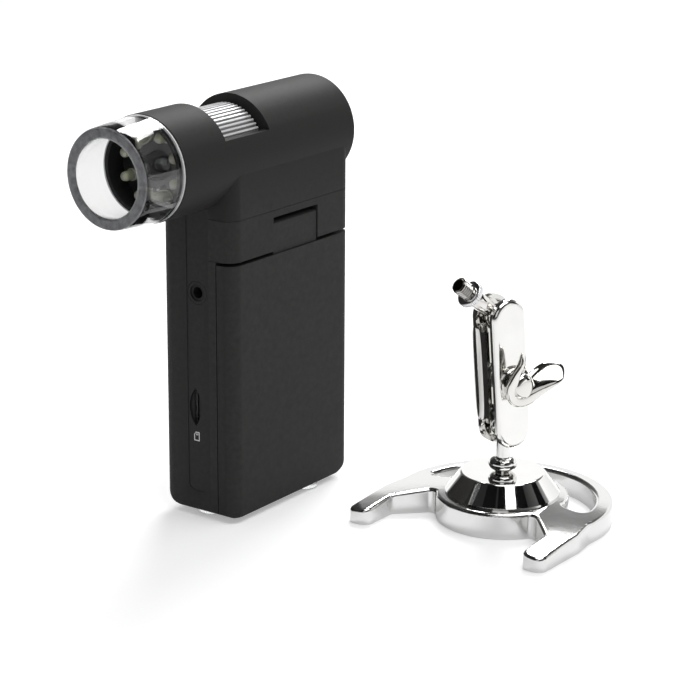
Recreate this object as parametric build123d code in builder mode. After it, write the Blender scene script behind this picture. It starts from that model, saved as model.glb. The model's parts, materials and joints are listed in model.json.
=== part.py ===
from build123d import *
import os
from math import cos, radians, sin, sqrt

os.makedirs("parts", exist_ok=True)

# Digital microscope with a flip-out screen, and its ball-joint stand. All sizes are millimetres.
# X runs from the lens (negative) to the closed end of the barrel, -Y is the screen side, Z is up.
# The origin is the mouth of the threaded socket in the flat bottom of the upright body.

# Upright body
near_reach = 28.75
far_reach = 31.45
back_depth = 11.8
front_depth = 15.4
seam_depth = 6.6
wall = 1.8
plan_back_corner = 4.0
plan_front_corner = 4.5
low_near_corner = 1.2
low_far_corner = 8.0
low_back_corner = 8.0
seam_gap = 0.12
edge_round = 0.6
overrun = 2.0

# Barrel across the top of the body
barrel_radius = 16.0
shoulder_rise = 1.78
barrel_lead = 21.1
barrel_overhang = 1.6
barrel_wall = 2.0
barrel_end_round = 1.4
barrel_front_round = 0.5
bulkhead = 2.6

# Window over the focus wheel, cut flat across the barrel
window_lead = 1.3
window_length = 20.9
window_sill_rise = 6.7

# Focus wheel
wheel_clearance = 0.5
wheel_front_gap = 0.3
wheel_length = 19.2
wheel_ridges = 60
wheel_groove_radius = 0.42
wheel_rim = 2.2
wheel_web = 3.0

# Optics carried on the barrel's axis
guide_radius = 5.2
guide_bore = 4.1
running_gap = 0.05
carriage_bore = 2.9
carriage_length = 27.0
carriage_travel = 4.0
carriage_setback = 0.8
lens_thickness = 2.2
lens_bow = 0.5
lens_lip = 0.5
second_lens_setback = 14.0
sensor_board_radius = 12.0
sensor_board_thickness = 1.2
sensor_chip_side = 7.0
sensor_chip_thickness = 1.4

# Ring of lamps behind the clear cap
bezel_clearance = 0.4
bezel_wall = 1.3
bezel_proud = 1.0
bezel_seat = 9.0
lamp_board_depth = 5.6
lamp_board_thickness = 1.2
lamp_board_hole = 4.6
lamp_count = 8
lamp_circle_radius = 9.2
lamp_dome_share = 0.96
lamp_radius = 1.5
lamp_height = 3.4
lamp_flange = 1.9
lamp_flange_height = 0.8

# Clear cap that sets the working distance
cap_length = 16.0
cap_root_inset = 0.15
cap_tip_radius = 14.8
cap_collar = 4.0
cap_bore_root = 12.6
cap_bore_tip = 11.4
cap_lip_round = 0.5
cap_travel = 20.0

# Screen lid
lid_height = 78.6
lid_proud = 0.3
lid_gap = 0.3
lid_inset = 0.8
lid_round = 1.0
bezel_plate = 0.9
window_glass = 0.6
lcd_thickness = 2.4
lcd_width = 46.0
view_width = 41.0
view_margin = 3.5
lcd_low = 8.0
lcd_top_margin = 8.6

# Hinge block over the lid, with the turning knuckle in its notch
hinge_gap = 1.0
hinge_block_height = 12.5
notch_left = 8.55
notch_right = 13.75
notch_height = 10.4
hinge_setback = 3.0
hinge_rise = 5.2
knuckle_radius = 4.95
knuckle_gap = 0.3
knuckle_recess = 0.35
pin_radius = 1.2
pin_reach = 7.0
swivel_radius = 2.0
swivel_into_knuckle = 2.4
swivel_into_lid = 6.0
lid_open_degrees = 110

# Button panel under the lid
panel_thickness = 2.6
button_gap = 0.25
button_proud = 0.1
button_flange = 0.7
button_flange_thickness = 0.7
button_travel = 0.4
button_edge = 0.25
button_pitch = 14.0
button_row_low = 38.0
button_row_high = 55.0
round_button_radius = 3.5
shutter_button_radius = 5.0
switch_side = 4.5
switch_height = 1.5
switch_plunger_radius = 1.1
switch_plunger_height = 0.5
switch_gap = 0.45

# Strip, sockets and openings of the narrow side
strip_front = 6.2
strip_back = 1.9
strip_low = 6.4
strip_corner = 2.5
strip_depth = 0.8
strip_inset = 0.15
jack_y = -2.0
jack_z = 69.0
jack_ring_radius = 3.6
jack_ring_depth = 0.5
jack_ring_lip = 0.6
jack_radius = 3.2
jack_bore = 1.75
jack_length = 11.0
card_z = 33.1
card_scoop_height = 12.0
card_scoop_width = 4.5
card_scoop_depth = 1.7
card_socket_height = 13.0
card_socket_depth = 14.5
card_socket_thickness = 1.9
card_slot_height = 11.2
card_slot_thickness = 0.9
usb_z = 33.1
usb_width = 7.9
usb_thickness = 3.9
usb_depth = 9.0
usb_wall = 0.5
usb_relief = 0.6
usb_tongue = 1.2

# Board and battery inside
board_thickness = 1.6
board_margin = 4.0
board_low = 9.0
board_top = 88.0
battery_width = 33.0
battery_height = 52.0
battery_thickness = 5.6
battery_low = 14.0
battery_pole = 1.0

# Bottom and back
socket_radius = 2.5
socket_length = 8.0
socket_outer = 4.2
foot_radius = 4.0
foot_height = 2.0
foot_round = 0.7
foot_near_inset = 6.5
foot_near_depth = 1.5
foot_lid_x = 12.25
foot_lid_depth = 11.7
foot_back_x = 14.0
foot_back_depth = 0.6
screw_head_radius = 2.0
screw_head_height = 1.4
screw_recess = 0.5
screw_shank_radius = 1.0
screw_length = 7.0
screw_boss_radius = 3.0
screw_side_inset = 8.5
screw_low = 13.0
screw_high = 84.0

# Stand: place of its post on the table, and the way its legs point
stand_x = 26.75
stand_y = -76.0
stand_turn = -1.3
floor_z = -foot_height

# Cast base of the stand
hub_radius = 20.3
hoop_radius = 33.8
hoop_width = 5.4
slot_start = 0.9
slot_corner = 3.0
web_apex = 8.0
web_corner = 2.0
leg_reach = 32.8
leg_inner = 27.4
leg_outer = 35.0
leg_shoulder = 12.0
leg_root = 33.0
leg_blend = 8.0
leg_corner = 3.0
base_height = 8.8
base_dome_radius = 250.0
base_round = 1.1

# Turned cone on the base, and the post through it
cone_seat = 8.0
cone_radius = 17.5
cone_top_radius = 12.9
cone_height = 6.8
cone_foot = 0.8
cone_round = 0.8
post_radius = 2.25
post_seat = 4.0
neck_radius = 2.35
neck_height = 0.6
bead_radius = 4.4
bead_height = 4.0
ball_rise = 30.0

# Clamp arm of two shells round the balls
ball_radius = 4.3
ball_gap = 34.0
arm_turn = -108.4
arm_lean = 5.2
arm_width = 12.4
arm_end = 6.6
shell_wall = 1.25
shell_front_out = 5.6
shell_front_in = 3.2
shell_back_out = 5.8
shell_back_in = 1.0
shell_round = 1.5
ball_window = 3.2
post_slot = 2.7
post_slot_rise = 2.0
boss_radius = 5.2
boss_height = 0.4

# Clamp screw, nut and spring
clamp_rise = 14.4
clamp_radius = 2.0
clamp_head_radius = 3.6
clamp_head_height = 1.8
spring_radius = 3.4
spring_wire = 0.9
nut_seat_gap = 0.1
nut_flange_radius = 5.4
nut_flange_height = 1.2
nut_flange_taper = 20.0
nut_hub_radius = 4.0
nut_hub_height = 5.4
nut_turn = -34.0
nut_crown = 1.8
wing_thickness = 1.5
wing_lift = 0.9
wing_low = 4.8
wing_belly_x = 3.9
wing_belly_y = 2.9
wing_waist_x = 5.4
wing_waist_y = 2.2
wing_flare_x = 6.7
wing_flare_y = 5.6
wing_tip_x = 9.6
wing_tip_y = 9.4
wing_root_depth = 3.0
wing_depth = 7.6
wing_tip_depth = 4.6
wing_wide_y = 5.2

# Ball stud that screws into the body's socket
stud_lean = 46.2
stud_neck_radius = 1.9
stud_collar_at = 13.3
stud_collar_radius = 4.2
stud_collar_thickness = 1.9
stud_collar_gap = 0.08
stud_relief_radius = 2.2
stud_relief = 0.6
stud_thread_radius = 2.5
stud_thread_length = 5.1
stud_chamfer = 0.5

# Places worked out from those sizes
body_width = near_reach + far_reach
near_x = -near_reach
far_x = far_reach
mid_x = (near_x + far_x) / 2
seam_y = -seam_depth
front_y = -front_depth
panel_y = seam_y - panel_thickness
lid_back_y = panel_y - lid_gap
lid_front_y = front_y - lid_proud
lid_thickness = lid_back_y - lid_front_y
lid_far_x = far_x - lid_inset
lid_mid_x = (near_x + lid_far_x) / 2
block_low = lid_height + hinge_gap
block_high = block_low + hinge_block_height
shoulder_low = block_high + seam_gap
shoulder_height = barrel_radius + shoulder_rise
barrel_height = shoulder_low + shoulder_height
barrel_bore = barrel_radius - barrel_wall
wheel_radius = barrel_bore - wheel_clearance
bezel_radius = barrel_bore - bezel_clearance
bezel_bore = bezel_radius - bezel_wall
cap_root_radius = barrel_radius - cap_root_inset
hoop_bore = hoop_radius - hoop_width
lcd_length = lid_height - lcd_low - lcd_top_margin
view_length = lcd_length - 2 * view_margin
barrel_near = near_x - barrel_lead
barrel_far = far_x + barrel_overhang
window_near = near_x - window_lead
window_far = window_near + window_length
wheel_near = window_near + wheel_front_gap
wheel_far = wheel_near + wheel_length
bezel_front = barrel_near - bezel_proud
bezel_back = barrel_near + bezel_seat
lamp_face = barrel_near + lamp_board_depth
lamp_back = lamp_face + lamp_board_thickness
guide_far = window_far + bulkhead
cap_tip = barrel_near - cap_length
cap_step = barrel_near - cap_collar
hinge_y = front_y + hinge_setback
hinge_z = lid_height + hinge_rise
notch_x = (notch_right - notch_left) / 2
notch_width = notch_right + notch_left

switch_reach = switch_gap + switch_plunger_height + switch_height
board_front_y = seam_y + button_flange_thickness + switch_reach
board_back_y = board_front_y + board_thickness
card_y = board_back_y + card_socket_thickness / 2
usb_y = board_back_y + usb_thickness / 2

near_plane = Plane(origin=(near_x, 0, 0), x_dir=(0, 1, 0), z_dir=(1, 0, 0))
usb_plane = Plane(origin=(far_x, 0, 0), x_dir=(0, -1, 0), z_dir=(-1, 0, 0))
back_plane = Plane(origin=(0, back_depth, 0), x_dir=(1, 0, 0), z_dir=(0, -1, 0))
optic_plane = Plane(origin=(0, 0, barrel_height), x_dir=(1, 0, 0), z_dir=(0, -1, 0))
optic_axis = Axis((0, 0, barrel_height), (1, 0, 0))
hinge_axis = Axis((0, hinge_y, hinge_z), (1, 0, 0))


def front_plane(y):
    """Upright plane that faces the screen side, with a sketch's x along X and its y along Z."""
    return Plane(origin=(0, y, 0), x_dir=(1, 0, 0), z_dir=(0, -1, 0))


def across_plane(x):
    """Plane square to the barrel, with a sketch's x along Y and its y measured from the axis."""
    return Plane(origin=(x, 0, barrel_height), x_dir=(0, 1, 0), z_dir=(1, 0, 0))


def save(piece, name):
    piece.label = name
    export_step(piece, f"parts/{name}.step")


def body_front(left, right, low, high, inset=0):
    """Front outline of a slab whose two lower corners are rounded as the body's are."""
    with Locations(((left + right) / 2, (low + high) / 2)):
        Rectangle(right - left, high - low)
    lower = vertices().group_by(Axis.Y)[0].sort_by(Axis.X)
    fillet(lower[0], max(low_near_corner - inset, edge_round))
    lower = vertices().group_by(Axis.Y)[0].sort_by(Axis.X)
    fillet(lower[-1], low_far_corner - inset)


def body_plan(left, right, front, back, corner, side):
    """Plan outline of a slab with two rounded corners, on its front (0) or its back (-1) side."""
    with Locations(((left + right) / 2, (front + back) / 2)):
        Rectangle(right - left, back - front)
    fillet(vertices().group_by(Axis.Y)[side], corner)


# Upper housing: the barrel with its wheel window, and the shoulder over the hinge block
with BuildPart() as upper_housing:
    with BuildSketch(across_plane(barrel_near)):
        Circle(barrel_radius)
    extrude(amount=barrel_far - barrel_near)
    fillet(edges().group_by(Axis.X)[-1], barrel_end_round)
    fillet(edges().group_by(Axis.X)[0], barrel_front_round)
    with BuildSketch(Plane.XY.offset(shoulder_low)):
        body_plan(near_x, far_x, front_y, seam_y, plan_front_corner, 0)
    extrude(amount=shoulder_height)
    with BuildSketch(across_plane(window_near)):
        Circle(barrel_bore)
        with Locations((0, window_sill_rise)):
            Rectangle(2 * barrel_radius + overrun, barrel_radius, align=(Align.CENTER, Align.MIN))
    extrude(amount=window_length, mode=Mode.SUBTRACT)
    with BuildSketch(across_plane(barrel_near)):
        Circle(bezel_radius)
    extrude(amount=bezel_seat, mode=Mode.SUBTRACT)
    with BuildSketch(across_plane(barrel_near)):
        Circle(guide_radius)
    extrude(amount=guide_far - barrel_near, mode=Mode.SUBTRACT)
    with BuildSketch(across_plane(guide_far)):
        Circle(barrel_bore)
    extrude(amount=barrel_far - wall - guide_far, mode=Mode.SUBTRACT)
save(upper_housing.part, "upper_housing")

# Rear shell: back, sides and bottom of the body in one moulding, hollow from the front
screw_places = [(x, z) for x in (near_x + screw_side_inset, far_x - screw_side_inset)
                for z in (screw_low, screw_high)]
strip_width = strip_front + strip_back
strip_mid = (strip_back - strip_front) / 2
strip_top = barrel_height - sqrt(barrel_radius**2 - strip_front**2) - wall
strip_height = strip_top - strip_low
block_parts = []
for inset in (0, wall):
    left = near_x + inset
    right = far_x - inset
    back = back_depth - inset
    with BuildPart() as block:
        with BuildSketch(Plane.XY.offset(inset)):
            body_plan(left, right, seam_y, back, plan_back_corner - inset, -1)
        extrude(amount=barrel_height - inset)
        with BuildSketch(front_plane(back)):
            body_front(left, right, inset, barrel_height, inset)
        extrude(amount=back - seam_y, mode=Mode.INTERSECT)
        with BuildSketch(near_plane):
            with Locations((seam_y, inset)):
                Rectangle(back - seam_y, barrel_height - inset, align=(Align.MIN, Align.MIN))
            fillet(vertices().group_by(Axis.Y)[0].sort_by(Axis.X)[-1], low_back_corner - inset)
        extrude(amount=body_width, mode=Mode.INTERSECT)
    block_parts.append(block.part)
with BuildPart() as rear_shell:
    add(block_parts[0])
    with BuildSketch(across_plane(near_x)):
        Circle(barrel_radius + seam_gap)
    extrude(amount=body_width, mode=Mode.SUBTRACT)
    add(block_parts[1], mode=Mode.SUBTRACT)
    with BuildSketch(back_plane):
        with Locations(*screw_places):
            Circle(screw_boss_radius)
    extrude(amount=back_depth - seam_y)
    with BuildSketch(back_plane):
        with Locations(*screw_places):
            Circle(screw_head_radius + running_gap)
    extrude(amount=screw_head_height + screw_recess, mode=Mode.SUBTRACT)
    with BuildSketch(back_plane):
        with Locations(*screw_places):
            Circle(screw_shank_radius)
    extrude(amount=screw_head_height + screw_recess + screw_length, mode=Mode.SUBTRACT)
    with BuildSketch(near_plane):
        with Locations((strip_mid, strip_low)):
            Rectangle(strip_width, strip_height, align=(Align.CENTER, Align.MIN))
        fillet(vertices().group_by(Axis.Y)[0], strip_corner)
    extrude(amount=strip_depth, mode=Mode.SUBTRACT)
    with BuildSketch(near_plane):
        with Locations((jack_y, jack_z)):
            Circle(jack_radius)
        with Locations((card_y, card_z)):
            Rectangle(card_socket_thickness, card_socket_height)
    extrude(amount=wall + strip_depth, mode=Mode.SUBTRACT)
    with BuildSketch(usb_plane):
        with Locations((-usb_y, usb_z)):
            RectangleRounded(usb_thickness, usb_width, usb_wall)
    extrude(amount=wall, mode=Mode.SUBTRACT)
    with BuildSketch(usb_plane):
        with Locations((-usb_y, usb_z)):
            RectangleRounded(usb_thickness + 2 * usb_relief, usb_width + 2 * usb_relief, 2 * usb_wall)
    extrude(amount=usb_relief, mode=Mode.SUBTRACT)
    with BuildSketch():
        Circle(socket_outer)
    extrude(amount=socket_length)
    with BuildSketch():
        Circle(socket_outer - wall / 2)
    extrude(amount=socket_length, mode=Mode.SUBTRACT)
save(rear_shell.part, "rear_shell")

# Hinge block: bar across the front above the lid, notched for the knuckle
with BuildPart() as hinge_block:
    with BuildSketch(Plane.XY.offset(block_low)):
        body_plan(near_x, far_x, front_y, seam_y, plan_front_corner, 0)
    extrude(amount=hinge_block_height)
    with BuildSketch(front_plane(hinge_y + knuckle_radius + knuckle_gap)):
        with Locations((notch_x, block_low)):
            Rectangle(notch_width, notch_height, align=(Align.CENTER, Align.MIN))
    extrude(amount=front_depth, mode=Mode.SUBTRACT)
    with BuildSketch(Plane.YZ.offset(notch_x - notch_width / 2 - pin_reach)):
        with Locations((hinge_y, hinge_z)):
            Circle(pin_radius)
    extrude(amount=notch_width + 2 * pin_reach, mode=Mode.SUBTRACT)
save(hinge_block.part, "hinge_block")

# Hinge pin through the block and the knuckle
with BuildPart() as hinge_pin:
    with BuildSketch(Plane.YZ.offset(notch_x - notch_width / 2 - pin_reach)):
        with Locations((hinge_y, hinge_z)):
            Circle(pin_radius)
    extrude(amount=notch_width + 2 * pin_reach)
save(hinge_pin.part, "hinge_pin")

# Button panel: closes the rear shell under the lid
button_places = {
    "power_button": (mid_x - button_pitch, button_row_high, round_button_radius),
    "shutter_button": (mid_x, button_row_high, shutter_button_radius),
    "menu_button": (mid_x + button_pitch, button_row_high, round_button_radius),
    "down_button": (mid_x - button_pitch, button_row_low, round_button_radius),
    "ok_button": (mid_x, button_row_low, round_button_radius),
    "up_button": (mid_x + button_pitch, button_row_low, round_button_radius),
}
with BuildPart() as button_panel:
    with BuildSketch(front_plane(seam_y)):
        body_front(near_x, far_x, 0, block_low - seam_gap)
        for x, z, radius in button_places.values():
            with Locations((x, z)):
                Circle(radius + button_gap, mode=Mode.SUBTRACT)
    extrude(amount=panel_thickness)
save(button_panel.part, "button_panel")

# Buttons: round caps with a flange behind the panel
for button_name, (x, z, radius) in button_places.items():
    with BuildPart() as button:
        with BuildSketch(front_plane(seam_y + button_flange_thickness)):
            with Locations((x, z)):
                Circle(radius + button_flange)
        extrude(amount=button_flange_thickness)
        with BuildSketch(front_plane(seam_y)):
            with Locations((x, z)):
                Circle(radius)
        extrude(amount=panel_thickness + button_proud)
        fillet(edges().group_by(Axis.Y)[0], button_edge)
    save(button.part, button_name)

# Main board, upright behind the buttons
jack_back_x = near_x + strip_depth + jack_length
with BuildPart() as main_board:
    with BuildSketch(front_plane(board_back_y)):
        with Locations((mid_x, (board_low + board_top) / 2)):
            Rectangle(body_width - 2 * wall - 2 * board_margin, board_top - board_low)
        with Locations(*screw_places):
            Circle(screw_boss_radius + seam_gap, mode=Mode.SUBTRACT)
        with Locations((jack_back_x + seam_gap, jack_z)):
            Rectangle(jack_length, 2 * jack_radius + wall, align=(Align.MAX, Align.CENTER), mode=Mode.SUBTRACT)
    extrude(amount=board_thickness)
save(main_board.part, "main_board")

# Tactile switches soldered on the board, one behind each button
with BuildPart() as tact_switches:
    for x, z, radius in button_places.values():
        with BuildSketch(front_plane(board_front_y)):
            with Locations((x, z)):
                Rectangle(switch_side, switch_side)
        extrude(amount=switch_height)
        with BuildSketch(front_plane(board_front_y - switch_height)):
            with Locations((x, z)):
                Circle(switch_plunger_radius)
        extrude(amount=switch_plunger_height)
save(tact_switches.part, "tact_switches")

# Battery, a flat cell against the back of the shell
cavity_back = back_depth - wall
with BuildPart() as battery:
    with BuildSketch(front_plane(cavity_back)):
        with Locations((mid_x, battery_low)):
            Rectangle(battery_width, battery_height, align=(Align.CENTER, Align.MIN))
    extrude(amount=battery_thickness)
    fillet(edges().filter_by(Axis.Z), battery_thickness / 2 - battery_pole)
save(battery.part, "battery")

# Trim strip let into the narrow side, with the jack's ring and the card's thumb scoop
scoop_half = card_scoop_height / 2
with BuildPart() as side_strip:
    with BuildSketch(near_plane.offset(strip_inset)):
        with Locations((strip_mid, strip_low)):
            Rectangle(strip_width, strip_height, align=(Align.CENTER, Align.MIN))
        fillet(vertices().group_by(Axis.Y)[0], strip_corner)
        with Locations((jack_y, jack_z)):
            Circle(jack_ring_radius, mode=Mode.SUBTRACT)
    extrude(amount=strip_depth - strip_inset)
    with BuildSketch(near_plane):
        with BuildLine():
            low_point = (card_y, card_z - scoop_half)
            high_point = (card_y, card_z + scoop_half)
            ThreePointArc(low_point, (card_y + card_scoop_width / 2, card_z), high_point)
            ThreePointArc(high_point, (card_y - card_scoop_width / 2, card_z), low_point)
        make_face()
    extrude(amount=strip_depth, mode=Mode.SUBTRACT)
save(side_strip.part, "side_strip")

# Video jack: a sleeve with a raised ring round its bore
with BuildPart() as video_jack:
    with BuildSketch(near_plane.offset(strip_inset)):
        with Locations((jack_y, jack_z)):
            Circle(jack_ring_radius - seam_gap)
    extrude(amount=strip_depth - strip_inset)
    with BuildSketch(near_plane.offset(strip_depth)):
        with Locations((jack_y, jack_z)):
            Circle(jack_radius)
    extrude(amount=jack_length)
    with BuildSketch(near_plane):
        with Locations((jack_y, jack_z)):
            Circle(jack_radius - jack_ring_lip)
    extrude(amount=jack_ring_depth, mode=Mode.SUBTRACT)
    with BuildSketch(near_plane):
        with Locations((jack_y, jack_z)):
            Circle(jack_bore)
    extrude(amount=jack_length, mode=Mode.SUBTRACT)
save(video_jack.part, "video_jack")

# Memory card socket: a flat metal box with a slot for the card
with BuildPart() as card_socket:
    with BuildSketch(near_plane.offset(card_scoop_depth)):
        with Locations((card_y, card_z)):
            Rectangle(card_socket_thickness, card_socket_height)
    extrude(amount=card_socket_depth)
    with BuildSketch(near_plane.offset(card_scoop_depth)):
        with Locations((card_y, card_z)):
            Rectangle(card_slot_thickness, card_slot_height)
    extrude(amount=card_socket_depth - card_slot_thickness, mode=Mode.SUBTRACT)
save(card_socket.part, "card_socket")

# Charging and data port on the far side
with BuildPart() as usb_port:
    with BuildSketch(usb_plane.offset(usb_relief)):
        with Locations((-usb_y, usb_z)):
            RectangleRounded(usb_thickness, usb_width, usb_wall)
    extrude(amount=usb_depth)
    with BuildSketch(usb_plane.offset(usb_relief)):
        with Locations((-usb_y, usb_z)):
            Rectangle(usb_thickness - 2 * usb_wall, usb_width - 2 * usb_wall)
            Rectangle(usb_tongue, usb_width - 4 * usb_wall, mode=Mode.SUBTRACT)
    extrude(amount=usb_depth - usb_wall, mode=Mode.SUBTRACT)
save(usb_port.part, "usb_port")

# Threaded socket in the bottom, for the stand's stud
with BuildPart() as stand_socket:
    with BuildSketch():
        Circle(socket_outer - wall / 2)
    extrude(amount=socket_length)
    with BuildSketch():
        Circle(socket_radius)
    extrude(amount=socket_length, mode=Mode.SUBTRACT)
save(stand_socket.part, "stand_socket")

# Clear bumper feet: two under the body, one under the lid
body_foot_places = [(near_x + foot_near_inset, -foot_near_depth), (foot_back_x, foot_back_depth)]
with BuildPart() as body_feet:
    with BuildSketch(Plane.XY.offset(floor_z)):
        with Locations(*body_foot_places):
            Circle(foot_radius)
    extrude(amount=foot_height)
    fillet(edges().group_by(Axis.Z)[0], foot_round)
save(body_feet.part, "body_feet")

with BuildPart() as lid_foot:
    with BuildSketch(Plane.XY.offset(floor_z)):
        with Locations((foot_lid_x, -foot_lid_depth)):
            Circle(foot_radius)
    extrude(amount=foot_height)
    fillet(edges().group_by(Axis.Z)[0], foot_round)
save(lid_foot.part, "lid_foot")

# Screws that hold the rear shell, sunk in its back
with BuildPart() as housing_screws:
    with BuildSketch(back_plane.offset(screw_recess)):
        with Locations(*screw_places):
            Circle(screw_head_radius)
    extrude(amount=screw_head_height)
    with BuildSketch(back_plane.offset(screw_recess + screw_head_height)):
        with Locations(*screw_places):
            Circle(screw_shank_radius)
    extrude(amount=screw_length)
save(housing_screws.part, "housing_screws")

# Lens bezel: ring in the barrel's mouth that carries the cap and the lamp board
with BuildPart() as lens_bezel:
    with BuildSketch(across_plane(bezel_front)):
        Circle(bezel_radius)
    extrude(amount=bezel_back - bezel_front)
    with BuildSketch(across_plane(bezel_front)):
        Circle(bezel_bore)
    extrude(amount=lamp_back - bezel_front, mode=Mode.SUBTRACT)
    with BuildSketch(across_plane(lamp_back)):
        Circle(bezel_bore - wall)
    extrude(amount=bezel_back - lamp_back, mode=Mode.SUBTRACT)
save(lens_bezel.part, "lens_bezel")

# Lamp board: black ring board seated in the bezel
with BuildPart() as lamp_board:
    with BuildSketch(across_plane(lamp_face)):
        Circle(bezel_bore)
        Circle(lamp_board_hole, mode=Mode.SUBTRACT)
    extrude(amount=lamp_board_thickness)
save(lamp_board.part, "lamp_board")

# Lamps: round-ended light emitting diodes on the ring board
lamp_start = 180 / lamp_count
with BuildPart() as lamps:
    with BuildSketch(across_plane(lamp_face)):
        with PolarLocations(lamp_circle_radius, lamp_count, start_angle=lamp_start):
            Circle(lamp_flange)
    extrude(amount=-lamp_flange_height)
    with BuildSketch(across_plane(lamp_face)):
        with PolarLocations(lamp_circle_radius, lamp_count, start_angle=lamp_start):
            Circle(lamp_radius)
    extrude(amount=-(lamp_height + lamp_radius))
    fillet(edges().group_by(Axis.X)[0], lamp_radius * lamp_dome_share)
save(lamps.part, "lamps")

# Guide tube: fixed sleeve that the focus wheel turns on and the lens slides in
with BuildPart() as guide_tube:
    with BuildSketch(across_plane(lamp_back)):
        Circle(guide_radius)
        Circle(guide_bore, mode=Mode.SUBTRACT)
    extrude(amount=guide_far - lamp_back)
save(guide_tube.part, "guide_tube")

# Focus wheel: ridged ring with a web and a hub on the guide tube
with BuildPart() as focus_wheel:
    with BuildSketch(across_plane(wheel_near)):
        Circle(wheel_radius)
        with PolarLocations(wheel_radius, wheel_ridges):
            Circle(wheel_groove_radius, mode=Mode.SUBTRACT)
    extrude(amount=wheel_length)
    with BuildSketch(across_plane(wheel_near + wheel_web)):
        Circle(wheel_radius - wheel_rim)
        Circle(guide_radius + wheel_rim, mode=Mode.SUBTRACT)
    extrude(amount=wheel_length - 2 * wheel_web, mode=Mode.SUBTRACT)
    with BuildSketch(across_plane(wheel_near)):
        Circle(guide_radius + running_gap)
    extrude(amount=wheel_length, mode=Mode.SUBTRACT)
save(focus_wheel.part, "focus_wheel")

# Lens carriage: tube that slides in the guide, with a lip in front of its lens
carriage_radius = guide_bore - running_gap
carriage_near = lamp_back + carriage_setback
carriage_far = carriage_near + carriage_length
with BuildPart() as lens_carriage:
    with BuildSketch(across_plane(carriage_near)):
        Circle(carriage_radius)
    extrude(amount=carriage_length)
    with BuildSketch(across_plane(carriage_near)):
        Circle(carriage_bore - lens_lip)
    extrude(amount=lens_lip, mode=Mode.SUBTRACT)
    with BuildSketch(across_plane(carriage_near + lens_lip)):
        Circle(carriage_bore)
    extrude(amount=carriage_length - lens_lip, mode=Mode.SUBTRACT)
save(lens_carriage.part, "lens_carriage")

# Two lenses seated in the carriage, each bowed on both faces
lens_starts = {
    "front_lens": carriage_near + lens_lip,
    "rear_lens": carriage_near + second_lens_setback,
}
for lens_name, start in lens_starts.items():
    end = start + lens_thickness
    with BuildPart() as lens:
        with BuildSketch(optic_plane):
            with BuildLine():
                ThreePointArc((start + lens_bow, -carriage_bore), (start, 0), (start + lens_bow, carriage_bore))
                Line((start + lens_bow, carriage_bore), (end - lens_bow, carriage_bore))
                ThreePointArc((end - lens_bow, carriage_bore), (end, 0), (end - lens_bow, -carriage_bore))
                Line((end - lens_bow, -carriage_bore), (start + lens_bow, -carriage_bore))
            make_face()
            with Locations((start, 0)):
                Rectangle(lens_thickness, carriage_bore, align=(Align.MIN, Align.MAX), mode=Mode.SUBTRACT)
        revolve(axis=optic_axis)
    save(lens.part, lens_name)

# Image sensor on its board, behind the guide tube
with BuildPart() as sensor_board:
    with BuildSketch(across_plane(guide_far + sensor_chip_thickness)):
        Circle(sensor_board_radius)
    extrude(amount=sensor_board_thickness)
    with BuildSketch(across_plane(guide_far)):
        Circle(sensor_board_radius)
        Circle(sensor_board_radius - wall, mode=Mode.SUBTRACT)
    extrude(amount=sensor_chip_thickness)
save(sensor_board.part, "sensor_board")

with BuildPart() as image_sensor:
    with BuildSketch(across_plane(guide_far)):
        Rectangle(sensor_chip_side, sensor_chip_side)
    extrude(amount=sensor_chip_thickness)
save(image_sensor.part, "image_sensor")

# Clear cap: tapered open tube that pushes on to the bezel
bezel_fit = bezel_radius + running_gap
with BuildPart() as clear_cap:
    with BuildSketch(optic_plane):
        with BuildLine():
            Polyline(
                (barrel_near - seam_gap, bezel_fit),
                (barrel_near - seam_gap, cap_root_radius),
                (cap_tip, cap_tip_radius),
                (cap_tip, cap_bore_tip),
                (cap_step, cap_bore_root),
                (cap_step, bezel_fit),
                close=True,
            )
        make_face()
    revolve(axis=optic_axis)
    fillet(edges().group_by(Axis.X)[0], cap_lip_round)
save(clear_cap.part, "clear_cap")

# Lid cover: outer shell of the screen, rounded down both sides
lcd_high = lcd_low + lcd_length
lcd_back_y = lid_back_y - bezel_plate
with BuildPart() as lid_cover:
    with BuildSketch(front_plane(lcd_back_y)):
        body_front(near_x, lid_far_x, 0, lid_height)
    extrude(amount=lcd_back_y - lid_front_y)
    with BuildSketch():
        body_plan(near_x, lid_far_x, lid_front_y, lcd_back_y, plan_front_corner - edge_round, 0)
    extrude(amount=lid_height, mode=Mode.INTERSECT)
    with BuildSketch(front_plane(lcd_back_y)):
        with Locations((lid_mid_x, lcd_low)):
            Rectangle(lcd_width, lcd_length, align=(Align.CENTER, Align.MIN))
    extrude(amount=lcd_thickness, mode=Mode.SUBTRACT)
    with BuildSketch(Plane.XY.offset(lid_height - swivel_into_lid)):
        with Locations((notch_x, hinge_y)):
            Circle(swivel_radius)
    extrude(amount=swivel_into_lid, mode=Mode.SUBTRACT)
save(lid_cover.part, "lid_cover")

# Screen bezel: plate over the cover's open side, with the viewing window
view_mid = (lcd_low + lcd_high) / 2
with BuildPart() as screen_bezel:
    with BuildSketch(front_plane(lid_back_y)):
        body_front(near_x, lid_far_x, 0, lid_height)
        with Locations((lid_mid_x, view_mid)):
            Rectangle(view_width, view_length, mode=Mode.SUBTRACT)
    extrude(amount=bezel_plate)
save(screen_bezel.part, "screen_bezel")

with BuildPart() as lcd_panel:
    with BuildSketch(front_plane(lcd_back_y)):
        with Locations((lid_mid_x, lcd_low)):
            Rectangle(lcd_width, lcd_length, align=(Align.CENTER, Align.MIN))
    extrude(amount=lcd_thickness)
save(lcd_panel.part, "lcd_panel")

with BuildPart() as screen_window:
    with BuildSketch(front_plane(lcd_back_y + window_glass)):
        with Locations((lid_mid_x, view_mid)):
            Rectangle(view_width, view_length)
    extrude(amount=window_glass)
save(screen_window.part, "screen_window")

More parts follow.
